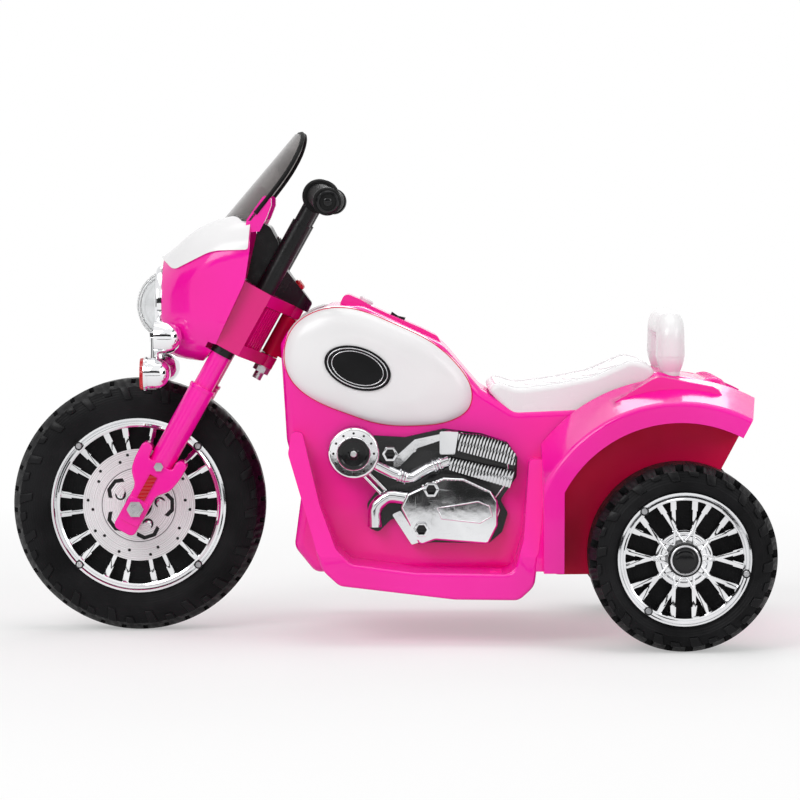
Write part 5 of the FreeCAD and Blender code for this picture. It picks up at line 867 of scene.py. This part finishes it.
def lugRow(label, trim, middle, sign):
    start = Vector(trim["from"])
    end = Vector(trim["to"])
    length = (end - start).length
    run = (end - start) / length
    out = Vector((0, sign, 0))
    blocks = []
    for number in range(trim["count"]):
        share = 1 if number % 2 else lugTrim["shortShare"]
        foot = end - run * length * share
        block = lugBlock(f"{label}_{number}", length * share, trim["width"])
        turn = 2 * pi * (number + 0.5) / trim["count"]
        spoke = Vector((cos(turn), 0, sin(turn)))
        along = spoke * run.x + out * run.y
        off = spoke * -run.y + out * run.x
        block.data.transform(Matrix((along, off.cross(along), off)).transposed().to_4x4())
        block.data.transform(Matrix.Translation(middle + out * foot.y + spoke * foot.x))
        blocks.append(block)
    return joinAll(blocks, label)


for side, sign in sides.items():
    finishPiece(lugRow(f"frontLugs_{side}", lugTrim["front"], frontAxle, sign), "deepBlack", "front_wheel")
    middle = Vector((rearAxles[side].x, sign * lugTrim["track"], rearAxles[side].z))
    for face, way in (("outer", sign), ("inner", -sign)):
        row = lugRow(f"rearLugs_{side}_{face}", lugTrim["rear"], middle, way)
        finishPiece(row, "deepBlack", f"rear_wheel_{side}")
print("tyre lugs laid")

# fork legs: slider, caliper block with rounded ears, axle pad and inner boss, in the leg's own frame
legTrim = {
    "rake": 29, "inner": 0.042, "outer": 0.072,
    "block": [(-12.4, -28), (12.4, -28), (12.4, 22), (23.2, 34), (26.2, 50), (26.2, 68), (14.5, 68),
              (13.8, 54), (-13.8, 54), (-15, 68), (-27.2, 68), (-27.2, 48), (-24, 34), (-12.4, 22)],
    "blockRounds": {0.0062: (0, 1), 0.0055: (5, 6, 9, 10), 0.0050: (2, 3, 4, 11, 12, 13), 0.0030: (7, 8)},
    "blockEdge": 0.0022,
    "pad": [(-10.8, -16.5), (10.8, -16.5), (10.8, 11.2), (-10.8, 11.2)],
    "padRounds": {0.0030: (0, 1, 2, 3)},
    "padEdge": 0.0009, "padSunk": 0.002, "padProud": 0.0018,
    "slider": [(0, 46), (11.8, 46), (13.3, 47.5), (13.6, 50), (13.6, 142.5), (14.3, 143.4), (14.3, 146.2),
               (13.7, 147), (11, 147), (11, 102), (0, 102)],
    "spread": 0.058,
    "boss": [(5.2, 0), (11, 0), (11, 8), (5.2, 8)],
    "bossFrom": 0.0366,
}


def sidePlate(name, outline, rounds, low, high):  # (x, z) outline with rounded corners, from low to high in y
    corners = [Vector((x * mm, low, z * mm)) for x, z in outline]
    plate = newFace(name, corners)
    for width, numbers in rounds.items():
        chosen = [corners[number] for number in numbers]
        selectWhere(plate, "vertices", lambda part: any((part.co - spot).length < 1e-5 for spot in chosen))
        bpy.ops.mesh.bevel(offset=width, segments=8, affect="VERTICES")
        setMode("OBJECT")
    thicken(plate, (0, high - low, 0))
    return plate


def buildLegs():
    trim = legTrim
    outer = trim["outer"]
    block = sidePlate("legBlock", trim["block"], trim["blockRounds"], trim["inner"], outer)
    roundEdges(block, trim["blockEdge"], 4)
    pad = sidePlate("legPad", trim["pad"], trim["padRounds"], outer - trim["padSunk"],
                    outer + trim["padProud"])
    roundEdges(pad, trim["padEdge"], 3)
    slider = lathe("legSlider", trim["slider"], 64)
    settle(slider, (0, trim["spread"], 0))
    boss = lathe("legBoss", trim["boss"], 40)
    settle(boss, (0, trim["bossFrom"], 0), (0, 1, 0))
    leg = joinAll([block, pad, slider, boss], "forkLeg_right")
    smoothOver(leg, 30)
    leg.data.transform(Matrix.Translation(frontAxle) @ Matrix.Rotation(radians(trim["rake"]), 4, "Y"))
    for side, piece in (("right", leg), ("left", mirrorOf(leg, "forkLeg_left"))):
        evenShading(piece)
        node = f"fork_lower_{side}"
        finishPiece(piece, "pinkGloss", bodyOf[node], node)


buildLegs()
print("fork legs built")

# backrest hoop: a little slimmer than its solid, with tapers where the pad ends
hoopTrim = {"slim": 0.0016, "padRadius": 0.0165, "bend": 0.034, "half": 0.062,
            "taper": [(9.4, 2.5), (14.6, 2.5), (14.9, -0.5), (14.4, -4.8), (13, -9.8), (11.4, -14.2),
                      (10.2, -17), (9.4, -17)]}


def slimHoop(node):
    low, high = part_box(node)
    dress(node, "whiteGloss")
    editAll(dressed[node])
    bpy.ops.transform.shrink_fatten(value=-hoopTrim["slim"])
    setMode("OBJECT")
    padEnd = high.z - hoopTrim["padRadius"] - hoopTrim["bend"] + hoopTrim["slim"]
    for side, sign in sides.items():
        place = ((low.x + high.x) / 2, sign * hoopTrim["half"], padEnd)
        turned(f"hoopTaper_{side}", hoopTrim["taper"], 48, place, None, "whiteGloss", bodyOf[node])


slimHoop("backrest_hoop")
print("hoop slimmed")

# mock engine: sockets, cleaner face, clamps and case lines; places are shares of the cover's width and height
engineTrim = {
    "corner": (-0.061, 0.099), "size": (0.199, 0.121),
    "sockets": [((0.327, 0.798), 0.1012), ((0.543, 0.494), 0.1082), ((0.492, 0.147), 0.1082)],
    "socketRadius": 0.0084, "socketDepth": 0.003, "socketRim": 0.0024, "socketSunk": 0.0022,
    "socketInner": 0.0058, "socketFloor": -0.0014, "socketEdge": 0.0004, "cleaner": (0.136, 0.804),
    "drumFace": 0.106, "domeFace": 0.111,
    "faceDisc": [(0, 1.6), (5, 1.5), (6.2, 0.6), (12.8, 0.4), (14.2, 1.3), (16, 1.1), (17, -0.8), (0, -0.8)],
    "faceScrew": (3.4, 1.2), "faceScrewLevel": 0.1128,
    "stud": [(0, -0.6), (1.3, -0.6), (1.3, 0.4), (0.8, 0.9), (0, 1)],
    "studRing": 0.0212, "studCount": 12, "pipeLevel": 0.090,
    "clamps": [((0.345, 0.62), (0.432, 0.574), 0.55), ((0.528, 0.669), (0.638, 0.736), 0.45)],
    "clampRings": [(5.8, -4.6), (8, -4.6), (8.4, -3.4), (7.3, -2.2), (7.3, -1.2), (8.4, 0), (7.3, 1.2),
                   (7.3, 2.2), (8.4, 3.4), (8, 4.6), (5.8, 4.6)],
    "caseStuds": [(0.50, 0.52), (0.608, 0.580), (0.714, 0.572), (0.845, 0.470)],
    "caseStudGap": 0.0036, "caseLevel": 0.1010,
    "wires": {  # level, radius and line
        "caseLine": (0.1010, 0.0008, [(0.575, 0.33), (0.60, 0.235), (0.80, 0.20), (0.865, 0.26), (0.85, 0.345),
                                      (0.79, 0.385), (0.70, 0.36)]),
        "frameStrut_0": (0.0862, 0.0021, [(0.185, 0.60), (0.285, 0.43)]),
        "frameStrut_1": (0.0862, 0.0021, [(0.2161558, 0.6204959), (0.3161558, 0.4504959)]),
        "engineEdge": (0.0848, 0.0012, [(0.700, 0.968), (0.868, 0.922), (0.945, 0.800), (0.952, 0.560),
                                        (0.880, 0.402), (0.905, 0.300), (0.880, 0.170)]),
    },
}


def enginePlace(share, level):
    return Vector((engineTrim["corner"][0] + share[0] * engineTrim["size"][0], -level,
                   engineTrim["corner"][1] + share[1] * engineTrim["size"][1]))


def engineLine(line, level):
    return [enginePlace(share, level) for share in line]


def hexSocket(name):
    trim = engineTrim
    piece = added(name, bpy.ops.mesh.primitive_cylinder_add, vertices=6, radius=trim["socketRadius"],
                  depth=trim["socketDepth"])
    selectWhere(piece, "polygons", lambda face: face.normal.z > 0.9)
    bpy.ops.mesh.inset(thickness=trim["socketRim"])
    push((0, 0, -trim["socketSunk"]))
    piece.data.materials.append(finishes["chrome"])
    piece.data.materials.append(finishes["blackGloss"])
    for face in piece.data.polygons:
        inner = face.center.xy.length < trim["socketInner"]
        face.material_index = int(inner and face.center.z > trim["socketFloor"])
    roundEdges(piece, trim["socketEdge"])
    smoothOver(piece)
    return piece


def alongLine(points, spacing):
    spots = []
    for start, end in zip(points, points[1:]):
        count = max(1, int((end - start).length / spacing))
        spots += [start.lerp(end, number / count) for number in range(count)]
    return spots


def trimEngine():
    trim = engineTrim
    outward = (0, -1, 0)
    for number, (share, level) in enumerate(trim["sockets"]):
        socket = hexSocket(f"engineSocket_{number}")
        settle(socket, enginePlace(share, level), outward, 30)
        bothSides(socket, "chrome")
    disc = lathe("cleanerDisc", trim["faceDisc"])
    settle(disc, enginePlace(trim["cleaner"], trim["domeFace"]), outward)
    bothSides(disc, "blackGloss")
    screw = crossScrew("cleanerScrew", *trim["faceScrew"])
    settle(screw, enginePlace(trim["cleaner"], trim["faceScrewLevel"]), outward, 20)
    bothSides(screw, "zincSteel")
    stud = lathe("studMaster", trim["stud"], 12)
    middle = enginePlace(trim["cleaner"], trim["drumFace"])
    turns = [number * 360 / trim["studCount"] for number in range(trim["studCount"])]
    spots = [aboutAxle(middle, trim["studRing"], turn, middle.y) for turn in turns]
    bothSides(joinAll(copiesAt(stud, "cleanerStud", spots, outward), "cleanerStuds"), "blackGloss")
    spots = alongLine(engineLine(trim["caseStuds"], trim["caseLevel"]), trim["caseStudGap"])
    bothSides(joinAll(copiesAt(stud, "caseStud", spots, outward), "caseStuds"), "chrome")
    bpy.data.objects.remove(stud)
    for number, (start, end, share) in enumerate(trim["clamps"]):
        low = enginePlace(start, trim["pipeLevel"])
        high = enginePlace(end, trim["pipeLevel"])
        clamp = lathe(f"pipeClamp_{number}", trim["clampRings"], 32)
        settle(clamp, low.lerp(high, share), high - low)
        bothSides(clamp, "chrome")
    for name, (level, radius, line) in trim["wires"].items():
        bothSides(tubeAlong(name, engineLine(line, level), radius, name == "caseLine"), "chrome")


trimEngine()
print("engine trimmed")

# tank: a seam strip round each white panel, the real joint coloured with the deeper pink as painted shade, and
# two silver rings on each badge
tankTrim = {"loopPoints": 96, "seamFrom": 0.0665, "seamTo": 0.0783, "seamGrow": 0.0008, "panelPart": 0.0778,
            "badgeMiddle": (-0.030, 0.285), "badgeTilt": 19, "ringHalf": (0.0325, 0.0192), "ringWire": 0.0006,
            "ringShares": (1.0, 0.86), "beside": -0.3}


def hitAlong(node, start, direction):
    found, place = dressed[node].ray_cast(Vector(start), Vector(direction))[:2]
    return place if found else None


def loopTurns():
    return [2 * pi * number / tankTrim["loopPoints"] for number in range(tankTrim["loopPoints"])]


def panelLoop(node):
    spots = [vertex.co for vertex in nodes[node].data.vertices if -vertex.co.y > tankTrim["panelPart"]]
    loop = []
    for turn in loopTurns():
        way = Vector((cos(turn), 0, sin(turn)))
        far = max(spots, key=way.dot) + way * tankTrim["seamGrow"]
        loop.append((far.x, -tankTrim["seamFrom"], far.z))
    return loop


def badgeLoop(share):
    tilt = radians(tankTrim["badgeTilt"])
    loop = []
    for turn in loopTurns():
        along = tankTrim["ringHalf"][0] * share * cos(turn)
        across = tankTrim["ringHalf"][1] * share * sin(turn)
        x = tankTrim["badgeMiddle"][0] + along * cos(tilt) + across * sin(tilt)
        z = tankTrim["badgeMiddle"][1] - along * sin(tilt) + across * cos(tilt)
        loop.append(hitAlong("tank_badges", (x, tankTrim["beside"], z), (0, 1, 0)))
    return [spot for spot in loop if spot is not None]


def trimTank():
    way = (0, tankTrim["seamFrom"] - tankTrim["seamTo"], 0)
    bothSides(slab("tankSeam", panelLoop("tank_panel_left"), way), "pinkPaintedShade")
    for number, share in enumerate(tankTrim["ringShares"]):
        wire = tubeAlong(f"badgeRing_{number}", badgeLoop(share), tankTrim["ringWire"] * share, True)
        bothSides(wire, "badgeSilver")


trimTank()
print("tank trimmed")

# front end: bulb, lamp rims, bracket blocks, screen bead, grip ends
frontTrim = {
    "bulb": [(0, 0), (4, 0), (4.4, 6), (5.2, 8), (5.8, 13), (4.6, 17.5), (2.2, 19.8), (0, 20.3)],
    "bulbPlace": (-0.222, 0, 0.348),
    "lampRim": [(15.8, -2), (17.6, -2), (18.4, 0), (18, 2.2), (16.4, 2.6), (15.6, 1)],
    "lampBack": 0.001, "blockSize": (0.010, 0.008, 0.012), "blockPlace": (-0.2320, 0.066, 0.306),
    "blockInset": 0.0014, "blockRise": 0.0012, "blockEdge": 0.0008, "beadWire": 0.0023, "beadPoints": 60,
    "beadFrom": -0.08, "beadSweep": 1.16, "beadDepth": 0.0004, "beadFoot": 0.004, "beadGap": 0.002,
    "gripRoot": (0.05, 0.09), "gripTip": (0.004, 0.02),
    "gripRing": [(8.6, -0.6), (9, 0.7), (10.8, 0.9), (11.6, 0.2), (11.6, -0.6)],
    "gripButton": [(0, 1.2), (3.2, 1), (4.4, 0.2), (4.6, -0.6), (0, -0.6)],
}


def screenEdge():
    trim = frontTrim
    spots = [vertex.co for vertex in nodes["windscreen"].data.vertices]
    foot = min(spot.z for spot in spots)
    loop = []
    for number in range(trim["beadPoints"] + 1):
        turn = pi * (trim["beadFrom"] + trim["beadSweep"] * number / trim["beadPoints"])
        way = Vector((0, cos(turn), sin(turn)))
        reach = max(spot.dot(way) for spot in spots)
        near = [spot for spot in spots if reach - spot.dot(way) < trim["beadDepth"]]
        middle = sum(near, Vector()) / len(near)
        fresh = not loop or (middle - loop[-1]).length > trim["beadGap"]
        if fresh and middle.z > foot + trim["beadFoot"]:
            loop.append(middle)
    return loop


def gripEnd(node):
    spots = [vertex.co for vertex in nodes[node].data.vertices]
    outer = max(abs(spot.y) for spot in spots)

    def middleOf(near, far):
        part = [spot for spot in spots if near < outer - abs(spot.y) < far]
        low = Vector([min(spot[axis] for spot in part) for axis in range(3)])
        high = Vector([max(spot[axis] for spot in part) for axis in range(3)])
        return (low + high) / 2

    start = middleOf(*frontTrim["gripRoot"])
    way = (middleOf(*frontTrim["gripTip"]) - start).normalized()
    reach = max((spot - start).dot(way) for spot in spots)
    return start + way * reach, way


def bracketBlock(side, sign):
    block = newCube(f"bracketBlock_{side}")
    block.scale = frontTrim["blockSize"]
    bpy.ops.object.transform_apply(location=False, rotation=False, scale=True)
    selectWhere(block, "polygons", lambda face: face.normal.x < -0.9)
    bpy.ops.mesh.inset(thickness=frontTrim["blockInset"])
    push((-frontTrim["blockRise"], 0, 0))
    roundEdges(block, frontTrim["blockEdge"])
    smoothOver(block)
    x, y, z = frontTrim["blockPlace"]
    settle(block, (x, sign * y, z))
    return block


def trimFront():
    turned("headlightBulb", frontTrim["bulb"], 32, frontTrim["bulbPlace"], forward, "clearLens", "steering")
    low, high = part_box("signal_lenses")
    for side, sign in sides.items():
        place = (high.x + frontTrim["lampBack"], sign * (high.y - (high.z - low.z) / 2), (low.z + high.z) / 2)
        turned(f"signalRim_{side}", frontTrim["lampRim"], 40, place, forward, "chrome", "steering")
        end, way = gripEnd(f"grip_{side}")
        for part in ("gripRing", "gripButton"):
            turned(f"{part}_{side}", frontTrim[part], 40, end, way, "blackGloss", "steering")
        finishPiece(bracketBlock(side, sign), "blackSatin", "steering")
    finishPiece(tubeAlong("screenBead", screenEdge(), frontTrim["beadWire"]), "gripRubber", "steering")


trimFront()
print("front end trimmed")

# steering head: ridged cheeks inside the yoke, in the steering's own frame, clear of the body at full lock
yokeTrim = {"origin": (-0.226517, 0, 0.113668), "rake": (0.48481, 0.87462), "front": -0.034,
            "outer": (-0.0240, 0.060), "inner": (-0.0100, 0.030), "low": 0.2040, "high": 0.2535,
            "ridges": 6, "ridgeShare": 0.6, "ridgeDepth": 0.0018, "edge": 0.0004}


def steeringFrame():
    lean, rise = yokeTrim["rake"]
    turn = Matrix(((rise, 0, lean), (0, 1, 0), (-lean, 0, rise))).to_4x4()
    return Matrix.Translation(yokeTrim["origin"]) @ turn


def coverYoke():
    trim = yokeTrim
    outer = Vector((*trim["outer"], trim["low"]))
    inner = Vector((*trim["inner"], trim["low"]))
    along = (inner - outer).normalized()
    inward = Vector((along.y, -along.x, 0)) * trim["ridgeDepth"]
    outline = [Vector((trim["front"], outer.y, outer.z))]
    for number in range(trim["ridges"]):
        rise = outer.lerp(inner, number / trim["ridges"])
        fall = outer.lerp(inner, (number + trim["ridgeShare"]) / trim["ridges"])
        outline += [rise + inward, rise, fall, fall + inward]
    outline += [inner + inward, Vector((trim["front"], inner.y, inner.z))]
    way = (0, 0, trim["high"] - trim["low"])
    cheek = slab("yokeCheek_right", outline, way, trim["edge"])
    cheek.data.transform(steeringFrame())
    # the cheeks wear the darker pink, painted shade of the recessed head
    for twin in (cheek, mirrorOf(cheek, "yokeCheek_left")):
        finishPiece(twin, "pinkHeadPaintedShade", "steering")


coverYoke()
print("steering head covered")

# body: webs between tray and arch, seat piping, ribs of seat, back and tail, start button ring
bodyTrim = {
    "web": [(0.079, 0.0772), (0.1490, 0.0772), (0.1490, 0.0930), (0.1052, 0.1895), (0.079, 0.1895)],
    "webFrom": 0.1545, "webTo": 0.1660, "webEdge": 0.0008, "pipingHalf": 0.0660,
    "pipingSpan": (0.1150, 0.2740), "pipingWire": 0.0014, "pipingPoints": 40, "above": 0.5, "behind": 0.6,
    "seatRibs": {"x": (0.150, 0.170, 0.190, 0.210, 0.230), "run": (-0.050, 0.050, 25), "bow": 0.014,
                 "wire": 0.0022, "sink": 0.0010},
    "backRibs": {"z": (0.115, 0.140, 0.165), "run": (0.0005, 0.055, 12), "wire": 0.0022, "sink": 0.0008},
    "tailRibs": {"y": (-0.050, -0.030, -0.010, 0.010, 0.030, 0.050), "run": (0.338, 0.361, 16),
                 "wire": 0.0010, "sink": 0.0002},
    "startRing": [(9.4, -1), (9.4, 1.2), (10.2, 1.8), (11.4, 1.4), (12, -1)],
    "startMiddle": (-0.0241, 0, 0.3505), "startFacing": (0.44, 0, 0.898),
}


def spread(low, high, count):
    return [low + (high - low) * number / (count - 1) for number in range(count)]


def ribSet(name, look, direction, rows):  # one wire along each row, where its rays meet the node
    trim = bodyTrim[name]
    sink = Vector(direction) * trim["sink"]
    ribs = []
    for node, starts in rows:
        spots = [hitAlong(node, start, direction) for start in starts]
        ribs.append(tubeAlong(name, [spot + sink for spot in spots if spot is not None], trim["wire"]))
    finishPiece(joinAll(ribs, name), look, "chassis")


def layRibs(above, behind):
    trim = bodyTrim["seatRibs"]
    half = trim["run"][1]
    rows = [("seat", [(x + trim["bow"] * (y / half) ** 2, y, above) for y in spread(*trim["run"])])
            for x in trim["x"]]
    ribSet("seatRibs", "seatWhite", down, rows)
    trim = bodyTrim["backRibs"]
    rows = [(f"body_shell_{side}", [(behind, sign * y, z) for y in spread(*trim["run"])])
            for z in trim["z"] for side, sign in sides.items()]
    ribSet("backRibs", "pinkGloss", forward, rows)
    trim = bodyTrim["tailRibs"]
    rows = [("tail_cowl", [(x, y, above) for x in spread(*trim["run"])]) for y in trim["y"]]
    ribSet("tailRibs", "pinkGloss", down, rows)


def trimBody():
    trim = bodyTrim
    outline = [(trim["webFrom"], -y, z) for y, z in trim["web"]]
    way = (trim["webTo"] - trim["webFrom"], 0, 0)
    bothSides(slab("archWeb", outline, way, trim["webEdge"]), "pinkGloss")
    piping = []
    for sign, span in ((-1, trim["pipingSpan"]), (1, trim["pipingSpan"][::-1])):
        starts = [(x, sign * trim["pipingHalf"], trim["above"]) for x in spread(*span, trim["pipingPoints"])]
        piping += [hitAlong("seat", start, down) for start in starts]
    finishPiece(tubeAlong("seatPiping", piping, trim["pipingWire"], True), "seatWhite", "chassis")
    layRibs(trim["above"], trim["behind"])
    turned("startRing", trim["startRing"], 48, trim["startMiddle"], trim["startFacing"], "badgeSilver",
           "chassis")


trimBody()
print("body trimmed")

# gauge on the dash: a plain dial with ticks and a needle, no figures
gaugeTrim = {
    "middle": (-0.1128, 0, 0.4045), "facing": (0.97, 0, 0.24),
    "cup": [(0, -6), (17.6, -6), (17.6, 1.8), (16.6, 3.2), (15.2, 3), (14.6, 1.2), (0, 1.2)],
    "dial": [(0, 1.6), (14, 1.6), (14.4, 1.2), (0, 1)],
    "tickCount": 9, "tickFrom": -30, "tickSweep": 240, "tickReach": (0.0105, 0.0132), "tickLevel": 0.0016,
    "tickWire": 0.0004,
    "needle": [(-0.002, -0.001, 0.0021), (0.0098, 0.0045, 0.0021)],
    "needleWire": 0.0005,
    "hub": [(0, 3), (1.4, 2.8), (2, 1.8), (2, 1.4), (0, 1.4)],
}


def fitGauge():
    trim = gaugeTrim
    cup = lathe("gaugeCup", trim["cup"], 56)
    dial = lathe("gaugeDial", trim["dial"], 56)
    marks = []
    for number in range(trim["tickCount"]):
        turn = radians(trim["tickFrom"] + trim["tickSweep"] * number / (trim["tickCount"] - 1))
        way = Vector((cos(turn), sin(turn), 0))
        ends = [way * reach + Vector((0, 0, trim["tickLevel"])) for reach in trim["tickReach"]]
        marks.append(tubeAlong(f"gaugeTick_{number}", ends, trim["tickWire"]))
    ticks = joinAll(marks, "gaugeTicks")
    needle = tubeAlong("gaugeNeedle", trim["needle"], trim["needleWire"])
    needle = joinAll([needle, lathe("gaugeHub", trim["hub"], 24)], "gaugeNeedle")
    looks = {cup: "blackGloss", dial: "whiteGloss", ticks: "blackSatin", needle: "redLens"}
    for piece, look in looks.items():
        settle(piece, trim["middle"], trim["facing"])
        finishPiece(piece, look, "steering")


fitGauge()
print("gauge fitted")
